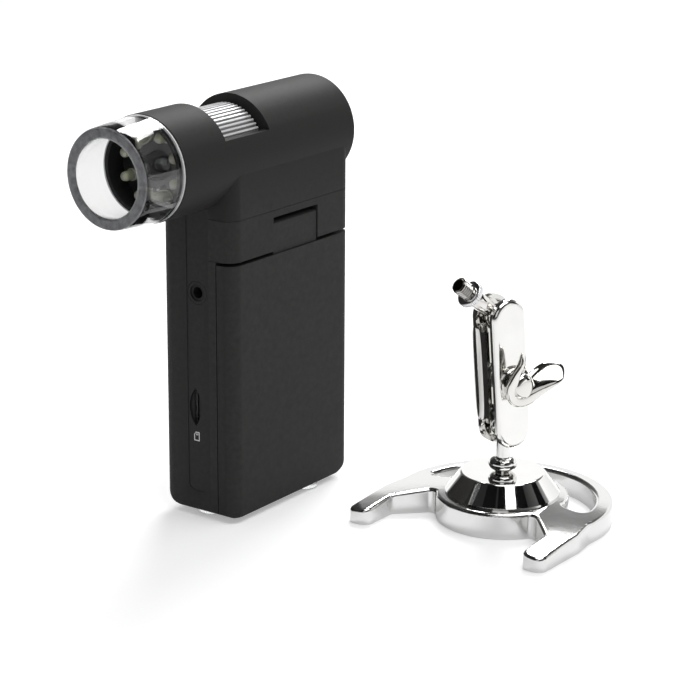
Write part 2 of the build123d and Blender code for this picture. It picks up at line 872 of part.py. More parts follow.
# Hinge knuckle: turns on the pin, round behind and flat in front
knuckle_front = front_y + knuckle_recess
knuckle_low = lid_height + seam_gap
knuckle_cut_height = 4 * knuckle_radius
with BuildPart() as hinge_knuckle:
    with BuildSketch(Plane.YZ.offset(notch_x)):
        with Locations((hinge_y, hinge_z)):
            Circle(knuckle_radius)
        with Locations((knuckle_front, knuckle_low)):
            Rectangle(hinge_y - knuckle_front, hinge_z - knuckle_low, align=(Align.MIN, Align.MIN))
        with Locations((knuckle_front, hinge_z)):
            Rectangle(knuckle_radius, knuckle_cut_height, align=(Align.MAX, Align.CENTER), mode=Mode.SUBTRACT)
        with Locations((hinge_y, hinge_z)):
            Circle(pin_radius + running_gap, mode=Mode.SUBTRACT)
    extrude(amount=notch_width / 2 - knuckle_gap, both=True)
    with BuildSketch(Plane.XY.offset(knuckle_low)):
        with Locations((notch_x, hinge_y)):
            Circle(swivel_radius)
    extrude(amount=swivel_into_knuckle - seam_gap, mode=Mode.SUBTRACT)
save(hinge_knuckle.part, "hinge_knuckle")

# Swivel post between knuckle and lid
with BuildPart() as swivel_post:
    with BuildSketch(Plane.XY.offset(lid_height - swivel_into_lid)):
        with Locations((notch_x, hinge_y)):
            Circle(swivel_radius)
    extrude(amount=swivel_into_lid + swivel_into_knuckle)
save(swivel_post.part, "swivel_post")

# Stand planes: the base lies on the table and the arm leans in the plane of its clamp
stand_plane = Plane(
    origin=(stand_x, stand_y, floor_z),
    x_dir=(cos(radians(stand_turn)), sin(radians(stand_turn)), 0),
    z_dir=(0, 0, 1),
)
stand_axis = Axis((stand_x, stand_y, floor_z), (0, 0, 1))
stand_upright = Plane(
    origin=(stand_x, stand_y, floor_z),
    x_dir=(cos(radians(stand_turn)), sin(radians(stand_turn)), 0),
    z_dir=(sin(radians(stand_turn)), -cos(radians(stand_turn)), 0),
)
clamp_way = Vector(cos(radians(arm_turn)), sin(radians(arm_turn)), 0)
arm_level = Vector(-sin(radians(arm_turn)), cos(radians(arm_turn)), 0)
arm_side = arm_level * cos(radians(arm_lean)) + Vector(0, 0, 1) * sin(radians(arm_lean))
arm_plane = Plane(origin=(stand_x, stand_y, floor_z + ball_rise), x_dir=arm_side, z_dir=clamp_way)

# Stand base: hub, open hoop and two forward legs in one casting, highest at the hub
with BuildPart() as stand_base:
    with BuildSketch(stand_plane):
        Circle(hoop_radius)
        with BuildLine():
            Polyline(
                (web_apex, 0),
                (web_apex - 2 * hoop_radius, 2 * hoop_radius),
                (web_apex - 2 * hoop_radius, -2 * hoop_radius),
                close=True,
            )
        make_face(mode=Mode.SUBTRACT)
        Circle(hub_radius)
        for side in (-1, 1):
            with BuildLine():
                Polyline(
                    (-leg_reach, side * leg_inner),
                    (-leg_reach, side * leg_outer),
                    (-leg_shoulder, side * leg_outer),
                    (0, side * leg_root),
                    (0, side * leg_inner),
                    close=True,
                )
            make_face()
        fillet(vertices().group_by(Axis.X)[0], leg_corner)
        roots = vertices().filter_by(lambda corner: abs(corner.X + abs(corner.Y) - web_apex) < running_gap)
        fillet(roots, web_corner)
        waist = vertices().filter_by_position(Axis.X, -leg_shoulder - running_gap, -running_gap)
        fillet(waist.filter_by(lambda corner: abs(corner.Y) > leg_root), leg_blend)
    extrude(amount=base_height)
    with BuildSketch(stand_plane):
        Circle(hoop_bore)
        Circle(hub_radius, mode=Mode.SUBTRACT)
        with Locations((slot_start, 0)):
            Rectangle(2 * hoop_bore, 2 * hoop_bore, align=(Align.MAX, Align.CENTER), mode=Mode.SUBTRACT)
        fillet(vertices(), slot_corner)
    extrude(amount=base_height, mode=Mode.SUBTRACT)
    base_reach = sqrt(leg_reach**2 + leg_outer**2) + overrun
    dome_edge = base_height - base_dome_radius + sqrt(base_dome_radius**2 - base_reach**2)
    dome_middle = base_height - base_dome_radius + sqrt(base_dome_radius**2 - (base_reach / 2)**2)
    with BuildSketch(stand_upright):
        with BuildLine():
            Polyline((0, base_height), (0, 0), (-base_reach, 0), (-base_reach, dome_edge))
            ThreePointArc((-base_reach, dome_edge), (-base_reach / 2, dome_middle), (0, base_height))
        make_face()
    revolve(axis=stand_axis, mode=Mode.INTERSECT)
    rims = edges().filter_by_position(Axis.Z, floor_z + dome_edge, floor_z + base_height)
    fillet(rims.filter_by(lambda rim: rim.bounding_box().size.Z < dome_edge), base_round)
    with BuildSketch(stand_plane.offset(cone_seat)):
        Circle(cone_radius + running_gap)
    extrude(amount=base_height, mode=Mode.SUBTRACT)
    with BuildSketch(stand_plane.offset(cone_seat - post_seat)):
        Circle(post_radius + running_gap)
    extrude(amount=base_height, mode=Mode.SUBTRACT)
save(stand_base.part, "stand_base")

# Turned cone on the hub
cone_high = cone_seat + cone_height
with BuildPart() as base_cone:
    with BuildSketch(stand_upright):
        with BuildLine():
            Polyline(
                (post_radius + running_gap, cone_seat),
                (cone_radius, cone_seat),
                (cone_radius, cone_seat + cone_foot),
                (cone_top_radius, cone_high),
                (post_radius + running_gap, cone_high),
                close=True,
            )
        make_face()
    revolve(axis=stand_axis)
    fillet(edges().filter_by(GeomType.CIRCLE).group_by(Axis.Z)[-1].sort_by(SortBy.RADIUS)[-1], cone_round)
save(base_cone.part, "base_cone")

# Post: neck, round bead and stem in one turned piece, seated in the base
neck_high = cone_high + neck_height
bead_high = neck_high + bead_height
bead_mid = (neck_high + bead_high) / 2
post_low = cone_seat - post_seat
with BuildPart() as stand_post:
    with BuildSketch(stand_upright):
        with BuildLine():
            Polyline(
                (0, post_low),
                (post_radius, post_low),
                (post_radius, cone_high + seam_gap),
                (neck_radius, cone_high + seam_gap),
                (neck_radius, neck_high),
            )
            ThreePointArc((neck_radius, neck_high), (bead_radius, bead_mid), (neck_radius, bead_high))
            Polyline(
                (neck_radius, bead_high),
                (post_radius, bead_high),
                (post_radius, ball_rise - sqrt(ball_radius**2 - post_radius**2)),
                (0, ball_rise - sqrt(ball_radius**2 - post_radius**2)),
                (0, post_low),
            )
        make_face()
    revolve(axis=stand_axis)
save(stand_post.part, "stand_post")

with BuildPart() as lower_ball:
    with BuildSketch(stand_upright):
        with BuildLine():
            flat = ball_rise - sqrt(ball_radius**2 - post_radius**2)
            Line((0, flat), (post_radius, flat))
            ThreePointArc((post_radius, flat), (ball_radius, ball_rise), (0, ball_rise + ball_radius))
            Line((0, ball_rise + ball_radius), (0, flat))
        make_face()
    revolve(axis=stand_axis)
save(lower_ball.part, "lower_ball")


# Clamp arm: front and back shells, troughs that grip both balls
def arm_outline(inset):
    """Long outline with round ends, drawn inset from the arm's own edge."""
    with Locations((0, ball_gap / 2)):
        SlotOverall(ball_gap + 2 * (arm_end - inset), arm_width - 2 * inset, rotation=90)


slot_length = arm_end + post_slot_rise + overrun
with BuildPart() as arm_front:
    with BuildSketch(arm_plane.offset(shell_front_in)):
        arm_outline(0)
    extrude(amount=shell_front_out - shell_front_in)
    fillet(faces().sort_by(Axis(arm_plane.origin, arm_plane.z_dir))[-1].edges(), shell_round)
    with BuildSketch(arm_plane):
        arm_outline(shell_wall)
    extrude(amount=ball_radius + running_gap, mode=Mode.SUBTRACT)
    with BuildSketch(arm_plane.offset(shell_front_out - boss_height)):
        with Locations((0, clamp_rise)):
            Circle(boss_radius)
    extrude(amount=2 * boss_height)
    with BuildSketch(arm_plane):
        with Locations((0, clamp_rise)):
            Circle(clamp_radius + running_gap)
    extrude(amount=shell_front_out + overrun, mode=Mode.SUBTRACT)
save(arm_front.part, "arm_front")

with BuildPart() as arm_back:
    with BuildSketch(arm_plane.offset(-shell_back_out)):
        arm_outline(0)
    extrude(amount=shell_back_out + shell_back_in)
    fillet(faces().sort_by(Axis(arm_plane.origin, arm_plane.z_dir))[0].edges(), shell_round)
    with BuildSketch(arm_plane.offset(-ball_radius - running_gap)):
        arm_outline(shell_wall)
    extrude(amount=ball_radius + shell_back_in + overrun, mode=Mode.SUBTRACT)
    with BuildSketch(arm_plane.offset(-post_slot)):
        with Locations((0, -arm_end - overrun)):
            Rectangle(arm_width + overrun, slot_length, align=(Align.CENTER, Align.MIN))
        with Locations((0, ball_gap + arm_end + overrun)):
            Rectangle(arm_width + overrun, slot_length, align=(Align.CENTER, Align.MAX))
    extrude(amount=2 * post_slot, mode=Mode.SUBTRACT)
    with BuildSketch(Plane(origin=arm_plane.origin, x_dir=arm_plane.y_dir, z_dir=arm_plane.x_dir)):
        with Locations((0, 0), (ball_gap, 0)):
            Circle(ball_window)
    extrude(amount=arm_width, both=True, mode=Mode.SUBTRACT)
    with BuildSketch(arm_plane.offset(-shell_back_out)):
        with Locations((0, clamp_rise)):
            Circle(clamp_radius + running_gap)
    extrude(amount=shell_back_out, mode=Mode.SUBTRACT)
save(arm_back.part, "arm_back")

nut_low = shell_front_out + boss_height + nut_seat_gap

# Clamp screw: head behind the back shell, shank through both
with BuildPart() as clamp_screw:
    with BuildSketch(arm_plane.offset(-shell_back_out - clamp_head_height)):
        with Locations((0, clamp_rise)):
            Circle(clamp_head_radius)
    extrude(amount=clamp_head_height)
    fillet(edges().sort_by(Axis(arm_plane.origin, arm_plane.z_dir))[0], edge_round)
    with BuildSketch(arm_plane.offset(-shell_back_out)):
        with Locations((0, clamp_rise)):
            Circle(clamp_radius)
    extrude(amount=shell_back_out + nut_low + nut_hub_height - 2 * nut_crown)
save(clamp_screw.part, "clamp_screw")

# Spring round the clamp screw, as a closed sleeve of its outer size
spring_length = 2 * (ball_radius + running_gap)
with BuildPart() as clamp_spring:
    with BuildSketch(arm_plane.offset(-spring_length / 2)):
        with Locations((0, clamp_rise)):
            Circle(spring_radius)
            Circle(spring_radius - spring_wire, mode=Mode.SUBTRACT)
    extrude(amount=spring_length)
save(clamp_spring.part, "clamp_spring")

# Wing nut: flanged hub with two curled wings
nut_center = arm_plane.origin + arm_plane.y_dir * clamp_rise
nut_side = arm_plane.x_dir * cos(radians(nut_turn)) + arm_plane.y_dir * sin(radians(nut_turn))
nut_plane = Plane(origin=nut_center, x_dir=nut_side, z_dir=clamp_way)
nut_axis = Axis(nut_center, clamp_way)
wing_outer = [
    (-wing_tip_x, wing_tip_y),
    (-wing_flare_x, wing_flare_y),
    (-wing_waist_x, wing_waist_y),
    (-wing_belly_x, -wing_belly_y),
    (0, -wing_low),
    (wing_belly_x, -wing_belly_y),
    (wing_waist_x, wing_waist_y),
    (wing_flare_x, wing_flare_y),
    (wing_tip_x, wing_tip_y),
]
wing_inner = [
    (wing_tip_x - wing_thickness, wing_tip_y),
    (wing_flare_x - wing_thickness, wing_flare_y),
    (wing_waist_x - wing_thickness, wing_waist_y),
    (0, wing_waist_y - wing_thickness),
    (wing_thickness - wing_waist_x, wing_waist_y),
    (wing_thickness - wing_flare_x, wing_flare_y),
    (wing_thickness - wing_tip_x, wing_tip_y),
]
wing_start = nut_low + wing_lift
leaf_plane = Plane(origin=nut_center, x_dir=nut_plane.y_dir, z_dir=nut_side)
with BuildPart() as nut_wings:
    with BuildSketch(nut_plane.offset(wing_start)):
        with BuildLine():
            Spline(*wing_outer)
            Line(wing_outer[-1], wing_inner[0])
            Spline(*wing_inner)
            Line(wing_inner[-1], wing_outer[0])
        make_face()
    extrude(amount=wing_depth, dir=clamp_way)
    with BuildSketch(leaf_plane.offset(-wing_tip_x - overrun)):
        with BuildLine():
            Line((-wing_low - overrun, wing_start - overrun), (wing_waist_y, wing_start - overrun))
            Line((wing_waist_y, wing_start - overrun), (wing_wide_y, wing_start + wing_lift))
            Spline(
                (wing_wide_y, wing_start + wing_lift),
                (wing_tip_y + wing_lift, wing_start + wing_tip_depth),
                (wing_wide_y, wing_start + wing_depth - wing_lift / 2),
                (-wing_low - overrun, wing_start + wing_root_depth),
            )
            Line((-wing_low - overrun, wing_start + wing_root_depth), (-wing_low - overrun, wing_start - overrun))
        make_face()
    extrude(amount=2 * (wing_tip_x + overrun), dir=nut_side, mode=Mode.INTERSECT)
with BuildPart() as wing_nut:
    with BuildSketch(nut_plane.offset(nut_low)):
        Circle(nut_flange_radius)
    extrude(amount=nut_flange_height, taper=nut_flange_taper)
    with BuildSketch(nut_plane.offset(nut_low + nut_flange_height)):
        Circle(nut_hub_radius)
    extrude(amount=nut_hub_height - nut_flange_height)
    fillet(faces().sort_by(nut_axis)[-1].edges(), nut_crown)
    add(nut_wings.part)
    with BuildSketch(nut_plane):
        Circle(clamp_radius + running_gap)
    extrude(amount=nut_low + nut_hub_height - nut_crown, mode=Mode.SUBTRACT)
save(wing_nut.part, "wing_nut")

# Ball stud at the top of the arm: ball, neck and thread in one piece
upper_center = arm_plane.origin + arm_plane.y_dir * ball_gap
stud_way = arm_plane.y_dir * cos(radians(stud_lean)) - arm_plane.x_dir * sin(radians(stud_lean))
stud_plane = Plane(origin=upper_center, x_dir=stud_way, z_dir=clamp_way)
stud_axis = Axis(upper_center, stud_way)
collar_far = stud_collar_at + stud_collar_thickness
thread_start = collar_far + stud_relief
thread_end = collar_far + stud_thread_length
neck_start = sqrt(ball_radius**2 - stud_neck_radius**2)
with BuildPart() as ball_stud:
    with BuildSketch(stud_plane):
        with BuildLine():
            ThreePointArc((-ball_radius, 0), (0, ball_radius), (neck_start, stud_neck_radius))
            Polyline(
                (neck_start, stud_neck_radius),
                (stud_collar_at, stud_neck_radius),
                (stud_collar_at, stud_relief_radius),
                (thread_start, stud_relief_radius),
                (thread_start, stud_thread_radius),
                (thread_end - stud_chamfer, stud_thread_radius),
                (thread_end, stud_thread_radius - stud_chamfer),
                (thread_end, 0),
                (-ball_radius, 0),
            )
        make_face()
    revolve(axis=stud_axis)
save(ball_stud.part, "ball_stud")

# Lock collar: round nut on the stud's thread
with BuildPart() as lock_collar:
    with BuildSketch(stud_plane):
        with BuildLine():
            Polyline(
                (stud_collar_at, stud_relief_radius + stud_collar_gap),
                (stud_collar_at, stud_collar_radius),
                (collar_far, stud_collar_radius),
                (collar_far, stud_relief_radius + stud_collar_gap),
                close=True,
            )
        make_face()
    revolve(axis=stud_axis)
save(lock_collar.part, "lock_collar")
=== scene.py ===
import json
from math import cos, pi, radians, sin

import bmesh
import bpy
import numpy as np
from mathutils import Matrix, Vector


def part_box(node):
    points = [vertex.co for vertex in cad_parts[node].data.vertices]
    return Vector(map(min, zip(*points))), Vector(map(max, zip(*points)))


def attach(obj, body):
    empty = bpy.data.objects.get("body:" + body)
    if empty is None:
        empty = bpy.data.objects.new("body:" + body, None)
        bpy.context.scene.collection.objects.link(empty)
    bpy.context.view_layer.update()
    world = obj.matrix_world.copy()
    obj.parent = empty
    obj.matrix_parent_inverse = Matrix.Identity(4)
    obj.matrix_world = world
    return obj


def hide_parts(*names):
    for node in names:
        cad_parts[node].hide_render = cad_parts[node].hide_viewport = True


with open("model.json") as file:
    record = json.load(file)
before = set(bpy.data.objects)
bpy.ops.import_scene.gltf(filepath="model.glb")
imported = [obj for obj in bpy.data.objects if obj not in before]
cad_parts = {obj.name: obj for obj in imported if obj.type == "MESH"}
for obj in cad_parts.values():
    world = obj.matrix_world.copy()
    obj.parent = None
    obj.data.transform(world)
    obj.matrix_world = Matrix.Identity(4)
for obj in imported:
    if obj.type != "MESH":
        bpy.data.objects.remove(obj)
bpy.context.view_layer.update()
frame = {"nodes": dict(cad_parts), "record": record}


# Table and studio. A white table top carries the object; a wide soft light hangs over it, a stronger
# one stands behind on the right and throws the shadow to the front left. The camera has the place
# and the long lens that the photograph was taken with.
camera_place = np.array([-0.551583, -0.428256, 0.255744])
sight = np.array([0.779443, 0.557283, -0.28619])
camera_roll = radians(0.3)
lens_length, film_width, nearest_seen = 124.416, 36, 0.01
level = np.cross(sight, (0, 0, 1))
level /= np.linalg.norm(level)
upright = np.cross(level, sight)
placing = np.eye(4)
placing[:3, 0] = level * cos(camera_roll) + upright * sin(camera_roll)
placing[:3, 1] = upright * cos(camera_roll) - level * sin(camera_roll)
placing[:3, 2] = -sight
placing[:3, 3] = camera_place
camera = bpy.data.objects.new("camera", bpy.data.cameras.new("camera"))
bpy.context.scene.collection.objects.link(camera)
camera.matrix_world = Matrix(placing.tolist())
camera.data.lens = lens_length
camera.data.sensor_width = film_width
camera.data.clip_start = nearest_seen
bpy.context.scene.camera = camera
bpy.context.scene.view_settings.view_transform = "Standard"


def surface(name, grids, smooth=True, crease=40):
    """One mesh from grids of points, grid[u, v] = (x, y, z): each cell of a grid is a quad between
    (u, v), (u + 1, v), (u + 1, v + 1) and (u, v + 1). Rows that close on themselves or shrink to a
    pole are welded, and the faces of closed forms are turned outwards."""
    points, quads, start = [], [], 0
    for grid in grids:
        rows, columns = grid.shape[:2]
        index = start + np.arange(rows * columns).reshape(rows, columns)
        cells = np.stack([index[:-1, :-1], index[1:, :-1], index[1:, 1:], index[:-1, 1:]], -1)
        quads.append(cells.reshape(-1, 4))
        points.append(np.asarray(grid, float).reshape(-1, 3))
        start += rows * columns
    mesh = bpy.data.meshes.new(name)
    mesh.from_pydata(np.concatenate(points).tolist(), [], np.concatenate(quads).tolist())
    if smooth:
        work = bmesh.new()
        work.from_mesh(mesh)
        bmesh.ops.remove_doubles(work, verts=work.verts, dist=1e-6)
        bmesh.ops.recalc_face_normals(work, faces=work.faces)
        work.to_mesh(mesh)
        work.free()
        mesh.polygons.foreach_set("use_smooth", [True] * len(mesh.polygons))
        mesh.set_sharp_from_angle(angle=radians(crease))
    piece = bpy.data.objects.new(name, mesh)
    bpy.context.scene.collection.objects.link(piece)
    return piece


def material(name):
    """New node material, returned with its node tree and its Principled shader."""
    made = bpy.data.materials.new(name)
    made.use_nodes = True
    return made, made.node_tree, made.node_tree.nodes["Principled BSDF"]


def add(tree, kind, **values):
    """Node of a kind in a tree, with settings or input values given by name."""
    node = tree.nodes.new("ShaderNode" + kind)
    for label, value in values.items():
        if hasattr(node, label):
            setattr(node, label, value)
        else:
            node.inputs[label.replace("_", " ")].default_value = value
    return node


def join(tree, *links):
    """Links between sockets, each given as (output, input)."""
    for output, socket in links:
        tree.links.new(output, socket)


# The table is matt white. A little light of its own lifts it to the white of the backdrop for the
# camera, by a share of that for metal, and glass sees plain white in its place.
table_reach = 4.0
table_low = float(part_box("stand_base")[0][2])
reach = np.linspace(-table_reach, table_reach, 2)
across, deep = np.meshgrid(reach, reach, indexing="ij")
table = surface("table_top", [np.stack([across, deep, np.full((2, 2), table_low)], -1)], smooth=False)
table_white, tree, shader = material("table_white")
shader.inputs["Base Color"].default_value = (0.83, 0.83, 0.84, 1)
shader.inputs["Roughness"].default_value = 0.7
shader.inputs["Specular IOR Level"].default_value = 0.2
ray = add(tree, "LightPath")
paper = add(tree, "Emission", Strength=1.0)
lift = add(tree, "Emission", Strength=0.34)
lifted = add(tree, "AddShader")
seen = add(tree, "Math", operation="MULTIPLY_ADD")
seen.inputs[1].default_value = 0.35
to_eye = add(tree, "MixShader")
to_glass = add(tree, "MixShader")
join(tree, (ray.outputs["Is Glossy Ray"], seen.inputs[0]), (ray.outputs["Is Camera Ray"], seen.inputs[2]),
     (shader.outputs[0], lifted.inputs[0]), (lift.outputs[0], lifted.inputs[1]),
     (seen.outputs[0], to_eye.inputs[0]), (shader.outputs[0], to_eye.inputs[1]),
     (lifted.outputs[0], to_eye.inputs[2]), (ray.outputs["Is Transmission Ray"], to_glass.inputs[0]),
     (to_eye.outputs[0], to_glass.inputs[1]), (paper.outputs[0], to_glass.inputs[2]),
     (to_glass.outputs[0], tree.nodes["Material Output"].inputs["Surface"]))
table.data.materials.append(table_white)

# The studio: grey walls light the scene and the camera sees a white backdrop.
studio = bpy.data.worlds.new("studio")
bpy.context.scene.world = studio
studio.use_nodes = True
tree = studio.node_tree
walls = tree.nodes["Background"]
walls.inputs["Color"].default_value = (1, 1, 1, 1)
walls.inputs["Strength"].default_value = 0.42
backdrop = add(tree, "Background", Strength=1.0)
backdrop.inputs["Color"].default_value = (1, 1, 1, 1)
way = add(tree, "TexCoord")
ray = add(tree, "LightPath")


def room(direction, low, high, steps):
    """Backdrop whose grey follows the share of a direction in the ray, through steps of (place, grey)."""
    ahead = add(tree, "VectorMath", operation="DOT_PRODUCT")
    ahead.inputs[1].default_value = direction
    share = add(tree, "MapRange", From_Min=low, From_Max=high)
    tone = add(tree, "ValToRGB")
    for step in steps[1:-1]:
        tone.color_ramp.elements.new(step[0])
    for element, step in zip(tone.color_ramp.elements, steps):
        element.position = step[0]
        element.color = (step[1], step[1], step[1], 1)
    made = add(tree, "Background", Strength=1.15)
    join(tree, (way.outputs["Generated"], ahead.inputs[0]), (ahead.outputs["Value"], share.inputs["Value"]),
         (share.outputs["Result"], tone.inputs["Fac"]), (tone.outputs["Color"], made.inputs["Color"]))
    return made


# Metal sees a white backdrop that ends 21 degrees over the table and sinks to the left, over it a
# dark room. Glass sees the white backdrop straight through and grey walls to the sides.
metal_steps = [(0, 0.85), (0.41, 1.0), (0.438, 0.30), (0.55, 0.12), (1, 0.02)]
metal_room = room((-0.424, 0.078, 0.902), -0.4, 0.6, metal_steps)
glass_steps = [(0.05, 0.05), (0.55, 0.33), (0.85, 0.95), (1, 0.95)]
glass_room = room((0.80, 0.57, -0.15), 0, 1, glass_steps)
to_eye = add(tree, "MixShader")
to_metal = add(tree, "MixShader")
to_glass = add(tree, "MixShader")
join(tree, (ray.outputs["Is Camera Ray"], to_eye.inputs[0]), (walls.outputs[0], to_eye.inputs[1]),
     (backdrop.outputs[0], to_eye.inputs[2]), (ray.outputs["Is Glossy Ray"], to_metal.inputs[0]),
     (to_eye.outputs[0], to_metal.inputs[1]), (metal_room.outputs[0], to_metal.inputs[2]),
     (ray.outputs["Is Transmission Ray"], to_glass.inputs[0]), (to_metal.outputs[0], to_glass.inputs[1]),
     (glass_room.outputs[0], to_glass.inputs[2]),
     (to_glass.outputs[0], tree.nodes["World Output"].inputs["Surface"]))


def softbox(name, place, target, size, power):
    """Square lamp at a place, turned to a target."""
    data = bpy.data.lights.new(name, "AREA")
    data.size = size
    data.energy = power
    made = bpy.data.objects.new(name, data)
    made.location = place
    made.rotation_mode = "QUATERNION"
    made.rotation_quaternion = (Vector(target) - Vector(place)).to_track_quat("-Z", "Y")
    bpy.context.scene.collection.objects.link(made)


softbox("light_over_table", (-0.05, -0.35, 0.9), (0, -0.03, 0.05), 0.7, 4.0)
softbox("light_behind_right", (0.70, 0.26, 0.85), (0, -0.03, 0.05), 0.45, 8.5)
softbox("light_front_left", (-0.75, -0.5, 0.45), (0, -0.03, 0.06), 0.5, 0.5)


def dark_card(name, centre, width, height, target):
    """Flat black card of a width and a height, centred at a place and facing a target."""
    facing = np.array(target) - np.array(centre)
    facing = facing / np.linalg.norm(facing)
    side = np.cross((0, 0, 1), facing)
    side = side / np.linalg.norm(side)
    rise = np.cross(facing, side)
    u, v = np.meshgrid((-0.5, 0.5), (-0.5, 0.5), indexing="ij")
    card = np.array(centre) + u[..., None] * width * side + v[..., None] * height * rise
    made = surface(name, [card], smooth=False)
    finish, tree, shader = material(name + "_black")
    shader.inputs["Base Color"].default_value = (0.008, 0.008, 0.008, 1)
    shader.inputs["Roughness"].default_value = 1.0
    shader.inputs["Specular IOR Level"].default_value = 0.0
    made.data.materials.append(finish)


# Cards round the table give the chrome its dark bands, with white gaps between them.
stand_middle = (0.027, -0.076, 0.02)
dark_card("card_over_camera", (-0.33, -0.73, 0.80), 0.95, 0.60, stand_middle)
dark_card("card_over_left", (-0.72, -0.05, 0.80), 0.38, 0.60, stand_middle)
dark_card("card_left", (-0.85, 0.35, 0.42), 0.40, 0.55, stand_middle)
dark_card("card_right", (0.62, -0.95, 0.42), 0.40, 0.60, stand_middle)
dark_card("card_front_left", (-0.95, -0.50, 0.20), 0.35, 0.30, stand_middle)


# Body mouldings: barrel with shoulder, rear shell, hinge block, button panel, screen cover and
# knuckle. All are black ABS mouldings with a fine spark-eroded grain and a soft-touch coat, whose
# sharp edges are painted paler, partly as wear and partly as a painted highlight.
nodes = frame["nodes"]


def finish_nodes(names, made):
    """Puts a material on nodes that the frame carries over."""
    for name in names:
        data = nodes[name].data
        data.materials.clear()
        data.materials.append(made)


def effect(name, inputs, outputs):
    """Empty shader node group with float inputs (label, value) and float outputs."""
    group = bpy.data.node_groups.new(name, "ShaderNodeTree")
    for label, value in inputs:
        given = group.interface.new_socket(label, in_out="INPUT", socket_type="NodeSocketFloat")
        given.default_value = value
    for label in outputs:
        group.interface.new_socket(label, in_out="OUTPUT", socket_type="NodeSocketFloat")
    return group, group.nodes.new("NodeGroupInput"), group.nodes.new("NodeGroupOutput")


def sized_noise(tree, size, detail):
    """Noise over the object's own coordinates, with patches of the size that a socket gives."""
    place = add(tree, "TexCoord")
    per_metre = add(tree, "Math", operation="DIVIDE")
    per_metre.inputs[0].default_value = 1.0
    noise = add(tree, "TexNoise", Detail=detail)
    join(tree, (size, per_metre.inputs[1]), (place.outputs["Object"], noise.inputs["Vector"]),
         (per_metre.outputs[0], noise.inputs["Scale"]))
    return noise.outputs["Fac"]


# Grain and slow blotches, both as noise.
grain_inputs = [("Grain size", 0.0002), ("Blotch size", 0.02)]
grain_effect, given, result = effect("grain_and_blotch", grain_inputs, ["Grain", "Blotch"])
for label, detail in (("Grain", 2.0), ("Blotch", 3.0)):
    noise = sized_noise(grain_effect, given.outputs[label + " size"], detail)
    join(grain_effect, (noise, result.inputs[label]))

# Edge wear and painted edge highlight: a mask that is 1 on sharp outward edges, broken up by noise.
wear_and_highlight_inputs = [("Start", 0.52), ("End", 0.62), ("Break size", 0.0015)]
wear_and_highlight_effect, given, result = effect("edge_wear_and_highlight", wear_and_highlight_inputs, ["Wear"])
shape = add(wear_and_highlight_effect, "NewGeometry")
edge_mask = add(wear_and_highlight_effect, "MapRange")
broken = add(wear_and_highlight_effect, "Math", operation="MULTIPLY", use_clamp=True)
noise = sized_noise(wear_and_highlight_effect, given.outputs["Break size"], 3.0)
join(wear_and_highlight_effect, (shape.outputs["Pointiness"], edge_mask.inputs["Value"]),
     (given.outputs["Start"], edge_mask.inputs["From Min"]),
     (given.outputs["End"], edge_mask.inputs["From Max"]),
     (edge_mask.outputs[0], broken.inputs[0]), (noise, broken.inputs[1]),
     (broken.outputs[0], result.inputs["Wear"]))


def textured(name, dark, pale, rough, grain_size, grain_depth, blotch_size=0.018, wear_and_highlight=0.0, metal=0.0,
             shine=0.5):
    """Material with grain as bump, blotches between two colours and two roughnesses, and edges painted
    paler as wear and as a painted highlight.
    """
    made, tree, shader = material(name)
    shader.inputs["Metallic"].default_value = metal
    shader.inputs["Specular IOR Level"].default_value = shine
    grain = add(tree, "Group", node_tree=grain_effect)
    grain.inputs["Grain size"].default_value = grain_size
    grain.inputs["Blotch size"].default_value = blotch_size
    shade = add(tree, "Mix", data_type="RGBA")
    shade.inputs["A"].default_value = (*dark, 1)
    shade.inputs["B"].default_value = (*pale, 1)
    gloss = add(tree, "MapRange", To_Min=rough[0], To_Max=rough[1])
    bump = add(tree, "Bump", Strength=0.35, Distance=grain_depth)
    join(tree, (grain.outputs["Blotch"], shade.inputs["Factor"]),
         (grain.outputs["Blotch"], gloss.inputs["Value"]),
         (gloss.outputs["Result"], shader.inputs["Roughness"]),
         (grain.outputs["Grain"], bump.inputs["Height"]),
         (bump.outputs["Normal"], shader.inputs["Normal"]))
    coloured = shade.outputs["Result"]
    if wear_and_highlight:
        edge_paler_node = add(tree, "Group", node_tree=wear_and_highlight_effect)
        edge_paler_mix = add(tree, "Mix", data_type="RGBA")
        edge_paler_mix.inputs["B"].default_value = (*[min(1.0, c * (1 + wear_and_highlight)) for c in pale], 1)
        join(tree, (edge_paler_node.outputs["Wear"], edge_paler_mix.inputs["Factor"]), (coloured, edge_paler_mix.inputs["A"]))
        coloured = edge_paler_mix.outputs["Result"]
    join(tree, (coloured, shader.inputs["Base Color"]))
    return made


soft_touch = textured("soft_touch_black", (0.0225, 0.0215, 0.021), (0.0245, 0.0235, 0.023), (0.55, 0.60),
                      0.00025, 0.00003, wear_and_highlight=0.8, shine=0.14)
finish_nodes(["upper_housing", "rear_shell", "hinge_block"], soft_touch)
finish_nodes(["lid_cover", "hinge_knuckle", "button_panel"], soft_touch)


# Trim and inner mouldings: the strip let into the narrow side, the video jack, the frame of the
# screen and the dark rings inside the barrel are the same black plastic, left uncoated.
# The trim's edges are painted paler too, partly as wear and partly as a painted highlight.
trim_black = textured("trim_black", (0.013, 0.013, 0.014), (0.017, 0.017, 0.018), (0.45, 0.55),
                      0.0003, 0.00003, wear_and_highlight=0.8, shine=0.18)
finish_nodes(["side_strip", "screen_bezel", "video_jack"], trim_black)
finish_nodes(["lens_bezel", "guide_tube", "lens_carriage"], trim_black)


# Card mark: a plain outline of a memory card, printed in white on the strip under the card slot. The
# print is 2.1 mm wide and 2.8 mm high, and each line of it is a thin plate of its own.
mm = 0.001
mark_low = np.array([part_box("side_strip")[0][0], -2.3 * mm, 22.4 * mm])
mark_lift = 0.02 * mm
mark_scale = 0.8


